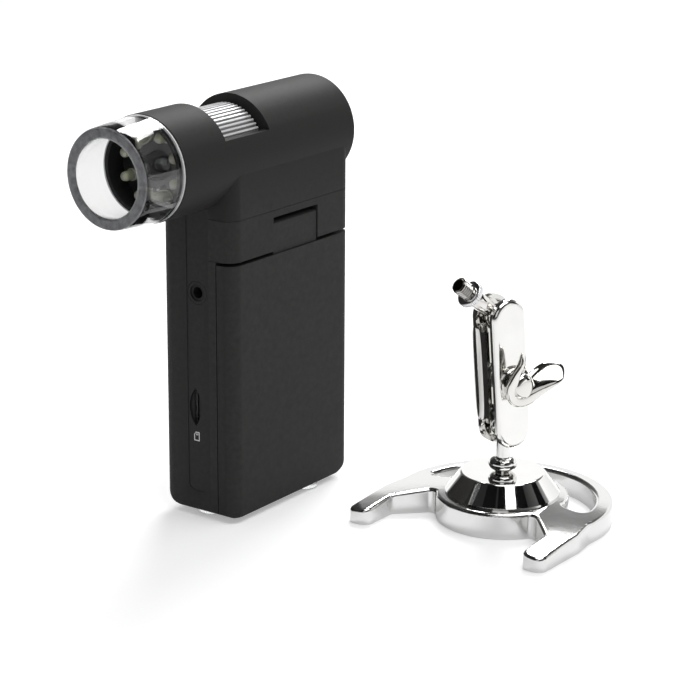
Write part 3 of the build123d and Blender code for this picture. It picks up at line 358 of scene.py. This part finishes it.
def flat_patch(corners, lift):
    """Thin closed plate: four corners (y, z) in order, filled bilinearly, from the strip's face to a
    lift in front of it."""
    corners = np.asarray(corners, float) * mark_scale * mm
    u, v = np.meshgrid((0, 1), (0, 1), indexing="ij")
    u, v = u[..., None], v[..., None]
    flat = (corners[0] * (1 - u) * (1 - v) + corners[1] * u * (1 - v)
            + corners[2] * u * v + corners[3] * (1 - u) * v)
    near = np.concatenate([np.full((2, 2, 1), -lift), flat], -1) + mark_low
    far = np.concatenate([np.zeros((2, 2, 1)), flat], -1) + mark_low
    rim = np.stack([near[[0, 1, 1, 0, 0], [0, 0, 1, 1, 0]], far[[0, 1, 1, 0, 0], [0, 0, 1, 1, 0]]])
    return [near, far, rim]


mark_outlines = [
    [(0, 0), (2.6, 0), (2.6, 0.35), (0, 0.35)],
    [(0, 0.35), (0.35, 0.35), (0.35, 3.2), (0, 3.2)],
    [(2.25, 0.35), (2.6, 0.35), (2.6, 2.4), (2.25, 2.4)],
    [(0, 3.2), (1.8, 3.2), (1.8, 3.55), (0, 3.55)],
    [(1.8, 3.2), (2.25, 2.4), (2.6, 2.4), (1.8, 3.55)],
    [(0.7, 2.2), (1.0, 2.2), (1.0, 2.9), (0.7, 2.9)],
    [(1.3, 2.2), (1.6, 2.2), (1.6, 2.9), (1.3, 2.9)],
]
mark_grids = [grid for outline in mark_outlines for grid in flat_patch(outline, mark_lift)]
card_mark = surface("card_mark", mark_grids, crease=20)
print_white = textured("print_white", (0.70, 0.70, 0.70), (0.82, 0.82, 0.82), (0.5, 0.6),
                       0.0002, 0.00001, 0.001)
card_mark.data.materials.append(print_white)
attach(card_mark, "microscope")


# Housing screws: four pan-head steel screws with a cross recess, driven up to their heads into
# the rear shell. The heads are pressed, with fine turning lines round them.
screw_middle_y = float(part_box("housing_screws")[1][1])
screw_head, screw_shank, screw_long, screw_thick = 2.0 * mm, 1.0 * mm, 8.4 * mm, 1.4 * mm
head_crown = 0.35 * mm
cross_width, cross_reach, cross_deep, cross_edge = 0.28 * mm, 1.15 * mm, 0.8 * mm, 0.2 * mm
screw_places = [(-20.25, 13.0), (-20.25, 84.0), (22.95, 13.0), (22.95, 84.0)]
ring_points = 97


def screw_form(x, z):
    """Crowned head as a height over a disc: minus the crown times the fourth power of the share of the
    radius, less the cross recess where the point is near either arm's middle line and within the
    arms' reach. Then the rim, the head's underside, a plain shank and its end."""
    r, a = np.meshgrid(np.linspace(0, 1, 25) ** 0.8, np.linspace(0, 2 * pi, ring_points), indexing="ij")
    px, pz = r * np.cos(a) * screw_head, r * np.sin(a) * screw_head
    arm_distance = np.minimum(np.abs(px), np.abs(pz))
    middle_distance = np.hypot(px, pz)
    inside = np.clip((cross_width - arm_distance) / (0.4 * cross_width) + 0.5, 0, 1)
    inside = inside * np.clip((cross_reach - middle_distance) / cross_edge, 0, 1)
    height = -head_crown * r ** 4 - cross_deep * inside * (1 - 0.5 * middle_distance / cross_reach)
    top = np.stack([x + px, screw_middle_y + height, z + pz], -1)
    ring = np.linspace(0, 2 * pi, ring_points)
    radii = np.array([screw_head, screw_head, screw_shank, screw_shank, 0])[:, None]
    depth = np.array([head_crown, screw_thick, screw_thick, screw_long, screw_long])[:, None]
    level_y = np.repeat(screw_middle_y - depth, ring_points, 1)
    side = np.stack([x + radii * np.cos(ring), level_y, z + radii * np.sin(ring)], -1)
    return [top, side]


screw_grids = [grid for x, z in screw_places for grid in screw_form(x * mm, z * mm)]
screws = surface("screw_heads", screw_grids, crease=30)
# The heads' edges are painted paler, partly as wear and partly as a painted highlight.
screw_steel = textured("screw_steel", (0.30, 0.30, 0.31), (0.46, 0.46, 0.47), (0.25, 0.40),
                       0.0004, 0.00002, 0.002, 0.4, 1.0)
screws.data.materials.append(screw_steel)
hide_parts("housing_screws")
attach(screws, "microscope")


# Focus wheel: ribbed ring of silver-painted plastic that turns on the guide tube. The bottoms of
# its grooves are painted darker than the ribs, as painted shade.
optic_height = 110.0 * mm


def from_axis(tree, centre, way):
    """Sockets for a point's distance from the line through centre along way, and its reach along it."""
    place = add(tree, "TexCoord")
    offset = add(tree, "VectorMath", operation="SUBTRACT")
    offset.inputs[1].default_value = centre
    aside = add(tree, "VectorMath", operation="CROSS_PRODUCT")
    aside.inputs[1].default_value = way
    distance = add(tree, "VectorMath", operation="LENGTH")
    along = add(tree, "VectorMath", operation="DOT_PRODUCT")
    along.inputs[1].default_value = way
    join(tree, (place.outputs["Object"], offset.inputs[0]), (offset.outputs["Vector"], aside.inputs[0]),
         (aside.outputs["Vector"], distance.inputs[0]), (offset.outputs["Vector"], along.inputs[0]))
    return distance.outputs["Value"], along.outputs["Value"]


def darken(made, mask, colour):
    """Mixes a colour into a material's base colour where a mask socket is 1."""
    tree = made.node_tree
    shader = tree.nodes["Principled BSDF"]
    painted = shader.inputs["Base Color"].links[0].from_socket
    mixed = add(tree, "Mix", data_type="RGBA")
    mixed.inputs["B"].default_value = (*colour, 1)
    join(tree, (mask, mixed.inputs["Factor"]), (painted, mixed.inputs["A"]),
         (mixed.outputs["Result"], shader.inputs["Base Color"]))


wheel_silver = textured("wheel_silver", (0.66, 0.66, 0.67), (0.74, 0.74, 0.75), (0.34, 0.42),
                        0.0012, 0.00001, 0.01, 0.0, 0.35)
wheel_radius, groove_deep, rib_share = 13.5 * mm, 0.38 * mm, 0.1
distance, along = from_axis(wheel_silver.node_tree, (0, 0, optic_height), (1, 0, 0))
# Painted shade: darker where the distance from the axis falls to the groove bottoms.
groove_shade = add(wheel_silver.node_tree, "MapRange", From_Min=wheel_radius - groove_deep,
             From_Max=wheel_radius - rib_share * groove_deep, To_Min=1.0, To_Max=0.0)
join(wheel_silver.node_tree, (distance, groove_shade.inputs["Value"]))
darken(wheel_silver, groove_shade.outputs["Result"], (0.14, 0.14, 0.142))
finish_nodes(["focus_wheel"], wheel_silver)


# Lamp board: black ring board seated in the bezel, with eight clear round-ended lamps. Each lamp
# holds a pale cup on its lead frame, and small chip parts are soldered between the lamps.
board_black = textured("board_black", (0.016, 0.018, 0.016), (0.028, 0.030, 0.028), (0.28, 0.42),
                       0.0006, 0.00002, 0.003)
finish_nodes(["lamp_board"], board_black)
board_face = float(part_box("lamp_board")[0][0])
lamp_circle, lamp_count = 9.2 * mm, 8
lamp_angles = pi / lamp_count + 2 * pi * np.arange(lamp_count) / lamp_count


def turned(profile, centre, way, steps=48):
    """Surface of revolution: each profile point (radius, distance) swings once round the line through
    centre along way. A radius of nought at an end makes a pole."""
    way = np.asarray(way, float) / np.linalg.norm(way)
    first = np.cross(way, (0, 0, 1) if abs(way[2]) < 0.9 else (1, 0, 0))
    first /= np.linalg.norm(first)
    second = np.cross(way, first)
    profile = np.asarray(profile, float)
    angle = np.linspace(0, 2 * pi, steps + 1)
    swing = np.cos(angle)[:, None] * first + np.sin(angle)[:, None] * second
    return np.asarray(centre) + profile[:, None, 1:] * way + profile[:, None, :1] * swing


lamp_spots = [(board_face, lamp_circle * cos(a), optic_height + lamp_circle * sin(a)) for a in lamp_angles]
cup_profile = mm * np.array([
    (0, 2.2), (0.45, 2.25), (0.75, 2.75), (0.85, 2.75), (0.55, 1.9), (0.22, 1.6), (0.22, 0.2), (0, 0.2)])
cup_grids = [turned(cup_profile, spot, (-1, 0, 0), 24) for spot in lamp_spots]
lamp_cups = surface("lamp_cups", cup_grids, crease=50)
cup_pale = textured("cup_pale", (0.62, 0.64, 0.30), (0.90, 0.90, 0.62), (0.35, 0.50),
                    0.0002, 0.00001, 0.0008)
lamp_cups.data.materials.append(cup_pale)
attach(lamp_cups, "microscope")

# The lamps' bodies are clear epoxy, slightly yellow, blotched between two tones.
lamp_clear, tree, shader = material("lamp_clear")
shader.inputs["Transmission Weight"].default_value = 0.55
shader.inputs["IOR"].default_value = 1.5
grain = add(tree, "Group", node_tree=grain_effect)
grain.inputs["Grain size"].default_value = 0.0006
grain.inputs["Blotch size"].default_value = 0.0025
tone = add(tree, "Mix", data_type="RGBA")
tone.inputs["A"].default_value = (0.74, 0.77, 0.55, 1)
tone.inputs["B"].default_value = (0.93, 0.93, 0.82, 1)
gloss = add(tree, "MapRange", To_Min=0.06, To_Max=0.16)
join(tree, (grain.outputs["Blotch"], tone.inputs["Factor"]),
     (tone.outputs["Result"], shader.inputs["Base Color"]),
     (grain.outputs["Blotch"], gloss.inputs["Value"]),
     (gloss.outputs["Result"], shader.inputs["Roughness"]))
finish_nodes(["lamps"], lamp_clear)


def rounded_box(centre, half, turn=0.0, power=0.35):
    """Superellipsoid: along each axis the sine or cosine is raised to a small power, which squares the
    ball up to a box with soft edges; then a turn round x."""
    u, v = np.meshgrid(np.linspace(-pi / 2, pi / 2, 13), np.linspace(-pi, pi, 25), indexing="ij")
    bend = lambda w: np.sign(w) * np.abs(w) ** power
    x = centre[0] + half[0] * bend(np.sin(u))
    y = half[1] * bend(np.cos(u)) * bend(np.cos(v))
    z = half[2] * bend(np.cos(u)) * bend(np.sin(v))
    across, rise = y * cos(turn) - z * sin(turn), y * sin(turn) + z * cos(turn)
    return np.stack([x, centre[1] + across, centre[2] + rise], -1)


chip_circle, chip_rise, chip_half = 7.4 * mm, 0.25 * mm, (0.3 * mm, 0.55 * mm, 1.0 * mm)
chip_parts = []
for a in lamp_angles + pi / lamp_count:
    spot = (board_face - chip_rise, chip_circle * cos(a), optic_height + chip_circle * sin(a))
    chip_parts.append((spot, a))
chip_grids = [rounded_box(spot, chip_half, a) for spot, a in chip_parts]
lamp_chips = surface("lamp_chips", chip_grids, crease=60)
chip_dark = textured("chip_dark", (0.02, 0.02, 0.022), (0.05, 0.05, 0.052), (0.35, 0.5),
                     0.0002, 0.00001, 0.0008)
lamp_chips.data.materials.append(chip_dark)
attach(lamp_chips, "microscope")

# Solder pads at both ends of each chip part.
pad_half, pad_rise, pad_reach = (0.12 * mm, 0.45 * mm, 0.3 * mm), 0.1 * mm, 1.15 * mm
pad_grids = []
for spot, a in chip_parts:
    for end in (-pad_reach, pad_reach):
        pad_spot = (board_face - pad_rise, spot[1] - end * sin(a), spot[2] + end * cos(a))
        pad_grids.append(rounded_box(pad_spot, pad_half, a, 0.6))
solder_pads = surface("solder_pads", pad_grids, crease=60)
solder = textured("solder", (0.42, 0.42, 0.43), (0.60, 0.60, 0.61), (0.22, 0.36),
                  0.0003, 0.00002, 0.0008, 0.0, 1.0)
solder_pads.data.materials.append(solder)
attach(solder_pads, "microscope")


# Lenses and clear feet: the lenses are coated glass, the feet are soft clear bumpers stuck on under
# the body and on the cover.
def clear(name, colour, rough, index, wave_size=0.004, wave_depth=0.00003):
    """Clear plastic or glass whose polish wavers slightly."""
    made, tree, shader = material(name)
    shader.inputs["Base Color"].default_value = (*colour, 1)
    shader.inputs["Transmission Weight"].default_value = 1.0
    shader.inputs["IOR"].default_value = index
    grain = add(tree, "Group", node_tree=grain_effect)
    grain.inputs["Grain size"].default_value = wave_size
    grain.inputs["Blotch size"].default_value = 0.01
    gloss = add(tree, "MapRange", To_Min=rough * 0.5, To_Max=rough * 1.5)
    bump = add(tree, "Bump", Strength=0.15, Distance=wave_depth)
    join(tree, (grain.outputs["Blotch"], gloss.inputs["Value"]),
         (grain.outputs["Grain"], bump.inputs["Height"]),
         (gloss.outputs["Result"], shader.inputs["Roughness"]),
         (bump.outputs["Normal"], shader.inputs["Normal"]))
    return made


finish_nodes(["front_lens", "rear_lens"], clear("lens_glass", (0.93, 0.96, 0.97), 0.01, 1.52))
finish_nodes(["body_feet", "lid_foot"], clear("foot_clear", (0.92, 0.94, 0.94), 0.25, 1.45))


# Clear cap: injection-moulded acrylic tube, polished, that pushes on to the bezel in the barrel's
# mouth. Its bore narrows evenly from 27.3 to 22.8 mm, and its front lip is rounded.
cap_back = float(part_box("clear_cap")[1][0])
cap_profile = mm * np.array([
    (13.65, 0), (15.85, 0), (15.0, 12.9), (14.82, 15.4), (14.7, 15.75),
    (14.35, 15.88), (11.85, 15.88), (11.5, 15.75), (11.4, 15.4), (13.65, 0)])
cap_place = (cap_back, 0, optic_height)
cap_form = surface("clear_cap_form", [turned(cap_profile, cap_place, (-1, 0, 0), 128)], crease=50)
cap_form.data.materials.append(clear("cap_clear", (1.0, 1.0, 1.0), 0.03, 1.49, 0.003, 0.00002))
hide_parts("clear_cap")
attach(cap_form, "clear_cap")

# A white ring is painted at the edge next to the barrel, as a painted highlight.
edge_profile = mm * np.array([
    (14.0, 0.02), (15.85, 0.02), (15.83, 0.42), (15.5, 0.5), (14.0, 0.1), (14.0, 0.02)])
cap_edge = surface("cap_edge", [turned(edge_profile, cap_place, (-1, 0, 0), 96)], crease=30)
edge_painted_highlight = textured("edge_painted_highlight", (0.82, 0.83, 0.83), (0.92, 0.93, 0.93), (0.25, 0.4),
                      0.0004, 0.00001, 0.004)
cap_edge.data.materials.append(edge_painted_highlight)
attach(cap_edge, "clear_cap")

# A grey ring under the polish of the front lip is painted shade that darkens the rim.
lip_profile = mm * np.array([(11.75, 15.35), (11.9, 15.7), (14.4, 15.7), (14.6, 15.35), (11.75, 15.35)])
cap_lip = surface("cap_lip", [turned(lip_profile, cap_place, (-1, 0, 0), 96)], crease=30)
lip_painted_shade = textured("lip_painted_shade", (0.0, 0.0, 0.0), (0.50, 0.51, 0.54), (0.25, 0.4), 0.001, 0.0001, 0.0018)
cap_lip.data.materials.append(lip_painted_shade)
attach(cap_lip, "clear_cap")


# Sockets and inner parts: brass insert for the stand, steel port shells, pins, green boards,
# foil-wrapped battery and the dark sensor.
def polished(name, colour, rough, wave_size, wave_depth):
    """Metal whose polish wavers: two near tones, two near roughnesses and a slow bump."""
    dark, pale = [c * 0.94 for c in colour], [min(1.0, c * 1.04) for c in colour]
    return textured(name, dark, pale, rough, wave_size, wave_depth, wave_size * 2, metal=1.0)


socket_brass = polished("socket_brass", (0.72, 0.56, 0.28), (0.22, 0.38), 0.001, 0.00002)
finish_nodes(["stand_socket"], socket_brass)
plain_steel = polished("plain_steel", (0.55, 0.55, 0.56), (0.22, 0.34), 0.001, 0.00002)
finish_nodes(["usb_port", "card_socket", "hinge_pin", "swivel_post"], plain_steel)
battery_foil = polished("battery_foil", (0.6, 0.6, 0.62), (0.34, 0.5), 0.003, 0.0001)
finish_nodes(["battery"], battery_foil)
board_green = textured("board_green", (0.016, 0.13, 0.055), (0.024, 0.19, 0.085), (0.22, 0.38),
                       0.0008, 0.00002)
finish_nodes(["main_board", "sensor_board"], board_green)
component_black = textured("component_black", (0.026, 0.026, 0.029), (0.034, 0.034, 0.037), (0.3, 0.4),
                           0.0005, 0.00002)
finish_nodes(["tact_switches", "image_sensor"], component_black)


# Screen and keys: dark display under a clear window on the cover's inner side, and grey rubber keys
# in the panel under it, each with a plain raised mark.
display_dark = textured("display_dark", (0.010, 0.012, 0.014), (0.014, 0.016, 0.019), (0.1, 0.18),
                        0.002, 0.000005)
finish_nodes(["lcd_panel"], display_dark)
finish_nodes(["screen_window"], clear("window_clear", (0.75, 0.77, 0.78), 0.03, 1.5))
# The keys' edges are painted paler, partly as wear and partly as a painted highlight.
key_grey = textured("key_grey", (0.115, 0.115, 0.12), (0.145, 0.145, 0.15), (0.4, 0.5),
                    0.0003, 0.00002, wear_and_highlight=0.5)


def raised_line(centre, face_y, path, half_width, lift):
    """Closed bead along a flat path on a key's face. Across the path each point follows the cosine of
    one turn times the half width, and out of the face its sine times the lift."""
    path = np.asarray(path, float)
    along = np.gradient(path, axis=0)
    along /= np.linalg.norm(along, axis=1)[:, None]
    over = np.stack([-along[:, 1], along[:, 0]], 1)
    s = np.linspace(0, 2 * pi, 13)
    taper = np.concatenate([[0], np.ones(len(path)), [0]])
    path = np.concatenate([path[:1], path, path[-1:]])
    over = np.concatenate([over[:1], over, over[-1:]])
    flat = path[:, None] + over[:, None] * (taper[:, None] * half_width * np.cos(s))[..., None]
    rise = lift * taper[:, None] * np.sin(s)
    return np.stack([centre[0] + flat[..., 0], face_y - rise, centre[1] + flat[..., 1]], -1)


def arc_path(radius, start, end, count=25):
    """Arc of a radius from one angle to another, in degrees."""
    angle = np.radians(np.linspace(start, end, count))
    return np.stack([radius * np.cos(angle), radius * np.sin(angle)], 1)


key_marks = {
    "power_button": [arc_path(1.3 * mm, 125, 415), [(0, 0.4 * mm), (0, 1.7 * mm)]],
    "shutter_button": [arc_path(2.2 * mm, 0, 358, 49), arc_path(0.9 * mm, 0, 358)],
    "menu_button": [[(-1.3 * mm, z * mm), (1.3 * mm, z * mm)] for z in (-0.9, 0, 0.9)],
    "down_button": [[(-1.2 * mm, 0.6 * mm), (0, -0.8 * mm)], [(0, -0.8 * mm), (1.2 * mm, 0.6 * mm)]],
    "ok_button": [arc_path(0.9 * mm, 0, 358)],
    "up_button": [[(-1.2 * mm, -0.6 * mm), (0, 0.8 * mm)], [(0, 0.8 * mm), (1.2 * mm, -0.6 * mm)]],
}
line_half, line_lift = 0.16 * mm, 0.08 * mm
mark_pale = textured("mark_pale", (0.55, 0.55, 0.55), (0.68, 0.68, 0.68), (0.4, 0.5),
                     0.0002, 0.00001, 0.001)
finish_nodes(key_marks, key_grey)
for key, paths in key_marks.items():
    low, high = [np.array(corner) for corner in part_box(key)]
    middle = ((low[0] + high[0]) / 2, (low[2] + high[2]) / 2)
    line_grids = [raised_line(middle, float(low[1]), path, line_half, line_lift) for path in paths]
    key_mark = surface(key + "_mark", line_grids, crease=60)
    key_mark.data.materials.append(mark_pale)
    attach(key_mark, key)


# Stand base, cone and post: zinc casting for the base, turned steel for the cone and the post with
# its bead, all polished and chromed. The casting keeps a softer, slightly wavy polish.
cast_chrome = polished("cast_chrome", (0.78, 0.78, 0.77), (0.08, 0.14), 0.006, 0.0001)
finish_nodes(["stand_base"], cast_chrome)
turned_chrome = polished("turned_chrome", (0.86, 0.855, 0.84), (0.02, 0.06), 0.004, 0.00002)
finish_nodes(["base_cone", "stand_post", "lower_ball", "clamp_screw"], turned_chrome)


# Clamp arm: two pressed steel shells, chromed, that grip a ball at each end. The front shell has a
# drawn grain that runs along the arm.
joints = {joint["name"]: joint for joint in frame["record"]["behaviour"]["joints"]}
pressed_chrome = polished("pressed_chrome", (0.90, 0.895, 0.87), (0.10, 0.16), 0.003, 0.0002)
tree = pressed_chrome.node_tree
drawn = add(tree, "TexNoise", Scale=1.0, Detail=1.0)
place = add(tree, "TexCoord")
stretch = add(tree, "Mapping")
stretch.inputs["Scale"].default_value = (420, 420, 16)
bump = next(node for node in tree.nodes if node.bl_idname == "ShaderNodeBump")
join(tree, (place.outputs["Object"], stretch.inputs["Vector"]),
     (stretch.outputs["Vector"], drawn.inputs["Vector"]), (drawn.outputs["Fac"], bump.inputs["Height"]))
finish_nodes(["arm_front"], pressed_chrome)

nut_centre = np.array(joints["nut_turn"]["pos_m"])
nut_way = np.array(joints["nut_turn"]["axis"], float)
nut_way /= np.linalg.norm(nut_way)
lower_centre = np.array(joints["arm_tilt"]["pos_m"])
upper_centre = np.array(joints["collar_turn"]["pos_m"])
arm_length = np.linalg.norm(upper_centre - lower_centre)
arm_up = (upper_centre - lower_centre) / arm_length
arm_side = np.cross(arm_up, nut_way)

# The back shell is pressed deeper and its sides are rolled. Each roll is a shallow swell: width and
# height follow the cosine and the squared sine of one turn, and both ends shrink to a pole.
rolled_chrome = polished("rolled_chrome", (0.74, 0.735, 0.71), (0.06, 0.12), 0.003, 0.0001)
finish_nodes(["arm_back"], rolled_chrome)
shell_half, roll_middle, roll_half, roll_rise, roll_root, roll_share = 6.2, -3.5, 2.2, 0.65, 0.3, 0.44
end_turn, s = np.meshgrid(np.linspace(0, pi, 49), np.linspace(0, 2 * pi, 41), indexing="ij")
way_up = arm_length * (0.5 - roll_share * np.sign(np.cos(end_turn)) * np.abs(np.cos(end_turn)) ** 0.6)
full = np.sin(end_turn) ** 0.4
swell = np.where(np.sin(s) > 0, roll_rise * np.sin(s) ** 2, -roll_root * np.sqrt(np.abs(np.sin(s)))) * full
depth = roll_middle + roll_half * np.cos(s) * full
rolls = []
for side in (-1, 1):
    roll = side * (shell_half + swell)[..., None] * arm_side + depth[..., None] * nut_way
    rolls.append(lower_centre + way_up[..., None] * arm_up + mm * roll)
shell_rolls = surface("shell_rolls", rolls, crease=70)
shell_rolls.data.materials.append(rolled_chrome)
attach(shell_rolls, "stand_arm")


# Clamp spring: coil of hard steel wire round the clamp screw, which pushes the two shells apart. The
# wire's round section is carried along a helix, and both ends shrink to a pole.
spring_turns, spring_length, spring_radius, spring_wire = 5.5, 8.7 * mm, 2.95 * mm, 0.42 * mm
end_sharpness = 400
t, s = np.meshgrid(np.linspace(0, 1, 265), np.linspace(0, 2 * pi, 17), indexing="ij")
wire = spring_wire * np.minimum(1, np.sqrt(np.minimum(t, 1 - t) * end_sharpness))
swing = 2 * pi * spring_turns * t
outward = np.cos(swing)[..., None] * arm_side + np.sin(swing)[..., None] * arm_up
climb = (t - 0.5) * (spring_length - 2 * spring_wire) + wire * np.sin(s)
coil = nut_centre + (spring_radius + wire * np.cos(s))[..., None] * outward + climb[..., None] * nut_way
clamp_coil = surface("clamp_coil", [coil], crease=80)
clamp_coil.data.materials.append(polished("spring_steel", (0.6, 0.6, 0.61), (0.2, 0.3), 0.0008, 0.00001))
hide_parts("clamp_spring")
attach(clamp_coil, "stand_arm")


# Wing nut: die-cast and chromed, a round flange and a domed hub, with two wings that sweep up out of
# one curl under the hub. It draws the arm's front shell towards the back one.
nut_turn = radians(-34.0)
nut_side = arm_side * cos(nut_turn) + arm_up * sin(nut_turn)
nut_up = np.cross(nut_way, nut_side)
hub_profile = mm * np.array([
    (0, 9.7), (2.05, 9.7), (2.05, 6.1), (5.1, 6.1), (5.38, 6.25), (5.4, 6.6), (5.2, 7.1), (4.6, 7.3),
    (4.15, 7.45), (4.0, 7.8), (4.0, 9.4), (3.9, 10.1), (3.5, 10.75), (2.8, 11.2), (1.9, 11.4), (0.9, 11.48),
    (0, 11.5)])
hub_grid = turned(hub_profile, nut_centre, nut_way, 64)


def through(stations, values, t):
    """Smooth value between stations: cubic with slopes from the neighbours on both sides."""
    slope = np.gradient(values, stations)
    k = np.clip(np.searchsorted(stations, t) - 1, 0, len(stations) - 2)
    width = stations[k + 1] - stations[k]
    w = (t - stations[k]) / width
    return ((1 + 2 * w) * (1 - w) ** 2 * values[k] + w * (1 - w) ** 2 * width * slope[k]
            + w ** 2 * (3 - 2 * w) * values[k + 1] + w ** 2 * (w - 1) * width * slope[k + 1])


# Wings: a rounded flat section carried along a curled line from the tip of one wing, under the hub,
# to the tip of the other; thickness and width shrink to a round end at both tips, and the front edge
# leans outwards by a share of its distance from the line, so the curl opens like a cup.
stations = np.array([-1, -0.78, -0.55, -0.28, 0, 0.28, 0.55, 0.78, 1])
line_x = np.array([-7.4, -5.7, -4.5, -3.0, 0, 3.2, 4.9, 6.9, 9.6])
line_y = np.array([8.9, 5.8, 2.2, -2.2, -3.9, -2.0, 3.0, 7.2, 10.9])
line_height = np.array([11.6, 11.2, 9.9, 8.9, 8.5, 8.9, 9.9, 11.2, 11.6])
half_wide = np.array([1.8, 2.4, 2.3, 1.8, 1.5, 2.2, 3.6, 4.0, 2.6])
half_thick = np.array([0.5, 0.8, 1.5, 2.1, 2.2, 2.1, 1.5, 0.8, 0.5])
flare_share, tip_start = 0.5, 0.8
t = np.sin(np.linspace(-pi / 2, pi / 2, 121))
s = np.linspace(0, 2 * pi, 33)
line = np.stack([through(stations, line_x, t), through(stations, line_y, t)], 1)
along = np.gradient(line, t, axis=0)
along /= np.linalg.norm(along, axis=1)[:, None]
over = np.stack([-along[:, 1], along[:, 0]], 1)
past_start = np.clip(np.abs(t) - tip_start, 0, 1 - tip_start) / (1 - tip_start)
close = np.sqrt(np.clip(1 - past_start ** 2, 0, 1))
square = lambda w, power: np.sign(w) * np.abs(w) ** power
across_line = (through(stations, half_thick, t) * close)[:, None] * square(np.cos(s), 0.8)
from_line = (through(stations, half_wide, t) * close)[:, None] * square(np.sin(s), 0.65)
flat = line[:, None] + over[:, None] * (across_line - flare_share * from_line)[..., None]
height = through(stations, line_height, t)[:, None] + from_line
wing_sheet = flat[..., :1] * nut_side + flat[..., 1:] * nut_up + height[..., None] * nut_way
wing_grid = nut_centre + mm * wing_sheet
wings = surface("wing_nut_form", [hub_grid, wing_grid], crease=45)
wings.data.materials.append(polished("nut_chrome", (0.80, 0.79, 0.76), (0.04, 0.09), 0.003, 0.00003))
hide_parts("wing_nut")
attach(wings, "wing_nut")


# Ball stud: turned steel ball and neck with a rolled M5 thread at its end, chromed. The thread is a
# ridge whose radius rises and falls once as the height climbs one pitch or the angle turns once, cut
# flat on top, and it fades out at both ends.
stud_way = np.array(joints["collar_turn"]["axis"], float)
stud_way /= np.linalg.norm(stud_way)
first = np.cross(stud_way, (0, 0, 1))
first /= np.linalg.norm(first)
second = np.cross(stud_way, first)
ball_radius, neck_start, relief_radius, thread_radius, thread_pitch = 4.3, 1.9, 2.2, 2.5, 0.8
thread_low, thread_high, root_drop, fade_length = 15.6, 20.3, 0.1, 0.5
ridge_steepness, end_bevel, bevel_length = 1.35, 0.25, 0.3
ball_angle = np.linspace(pi, np.arcsin(neck_start / ball_radius), 33)
ball_part = np.stack([ball_radius * np.sin(ball_angle), ball_radius * np.cos(ball_angle)], 1)
neck_part = np.array([
    (2.5, 5.6), (2.6, 9.0), (2.6, 12.9), (relief_radius, 13.3), (relief_radius, thread_low)])
stud_grid = turned(np.concatenate([ball_part, neck_part]) * mm, upper_centre, stud_way, 64)
t, a = np.meshgrid(np.linspace(thread_low, thread_high, 241), np.linspace(0, 2 * pi, 65), indexing="ij")
ridge = 1 - 2 * np.abs(((t - thread_low) / thread_pitch - a / (2 * pi)) % 1 - 0.5)
fade = np.clip((t - thread_low - root_drop) / fade_length, 0, 1)
fade = fade * np.clip((thread_high - t) / fade_length, 0, 1)
root_radius = relief_radius - root_drop
radius = root_radius + (thread_radius - root_radius) * np.clip(ridge_steepness * ridge * fade, 0, 1)
radius = radius - end_bevel * np.clip((t - thread_high + bevel_length) / bevel_length, 0, 1)
swing = np.cos(a)[..., None] * first + np.sin(a)[..., None] * second
thread_grid = upper_centre + mm * (t[..., None] * stud_way + radius[..., None] * swing)
end_radius, end_dish = root_radius - end_bevel, thread_high - 0.02
end_profile = mm * np.array([(end_radius, thread_high), (1.2, end_dish), (0, end_dish)])
end_grid = turned(end_profile, upper_centre, stud_way, 64)
stud = surface("stud_threaded", [stud_grid, thread_grid, end_grid], crease=50)
stud_chrome = polished("stud_chrome", (0.82, 0.80, 0.77), (0.05, 0.12), 0.002, 0.00002)
stud.data.materials.append(stud_chrome)
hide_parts("ball_stud")
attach(stud, "ball_stud")

# Painted shade in the thread's grooves: the shade follows the distance from the stud's axis, past the
# collar.
tree = stud_chrome.node_tree
distance, along = from_axis(tree, upper_centre, stud_way)
groove_shade = add(tree, "MapRange", From_Min=2.12 * mm, From_Max=2.46 * mm, To_Min=1.0, To_Max=0.0)
past = add(tree, "Math", operation="GREATER_THAN")
past.inputs[1].default_value = 15.5 * mm
thread_groove_shade = add(tree, "Math", operation="MULTIPLY")
join(tree, (distance, groove_shade.inputs["Value"]), (along, past.inputs[0]),
     (groove_shade.outputs["Result"], thread_groove_shade.inputs[0]), (past.outputs[0], thread_groove_shade.inputs[1]))
darken(stud_chrome, thread_groove_shade.outputs[0], (0.055, 0.05, 0.04))


# Lock collar: thin round nut with a straight-knurled edge that jams the stud in the body's socket. Its
# profile swings round the stud, and 48 shallow waves cut into the rim.
collar_bore, bevel, rim_start, rim_blend, knurl_deep, knurl_count = 2.28, 0.15, 4.1, 0.1, 0.12, 48
collar_profile = np.array([
    (collar_bore, 13.45), (collar_bore + bevel, 13.3), (3.7, 13.3), (3.95, 13.42), (4.2, 13.65),
    (4.2, 14.85), (3.95, 15.08), (3.7, 15.2), (collar_bore + bevel, 15.2), (collar_bore, 15.05),
    (collar_bore, 13.45)])
angle = np.linspace(0, 2 * pi, 289)
knurl = knurl_deep * (0.5 + 0.5 * np.cos(knurl_count * angle))
rim_share = np.clip((collar_profile[:, :1] - rim_start) / rim_blend, 0, 1)
radius = collar_profile[:, :1] - rim_share * knurl
swing = np.cos(angle)[:, None] * first + np.sin(angle)[:, None] * second
collar_grid = upper_centre + mm * (collar_profile[:, None, 1:] * stud_way + radius[..., None] * swing)
collar = surface("collar_knurled", [collar_grid], crease=35)
collar.data.materials.append(polished("collar_chrome", (0.82, 0.82, 0.83), (0.04, 0.1), 0.002, 0.00002))
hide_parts("lock_collar")
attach(collar, "lock_collar")
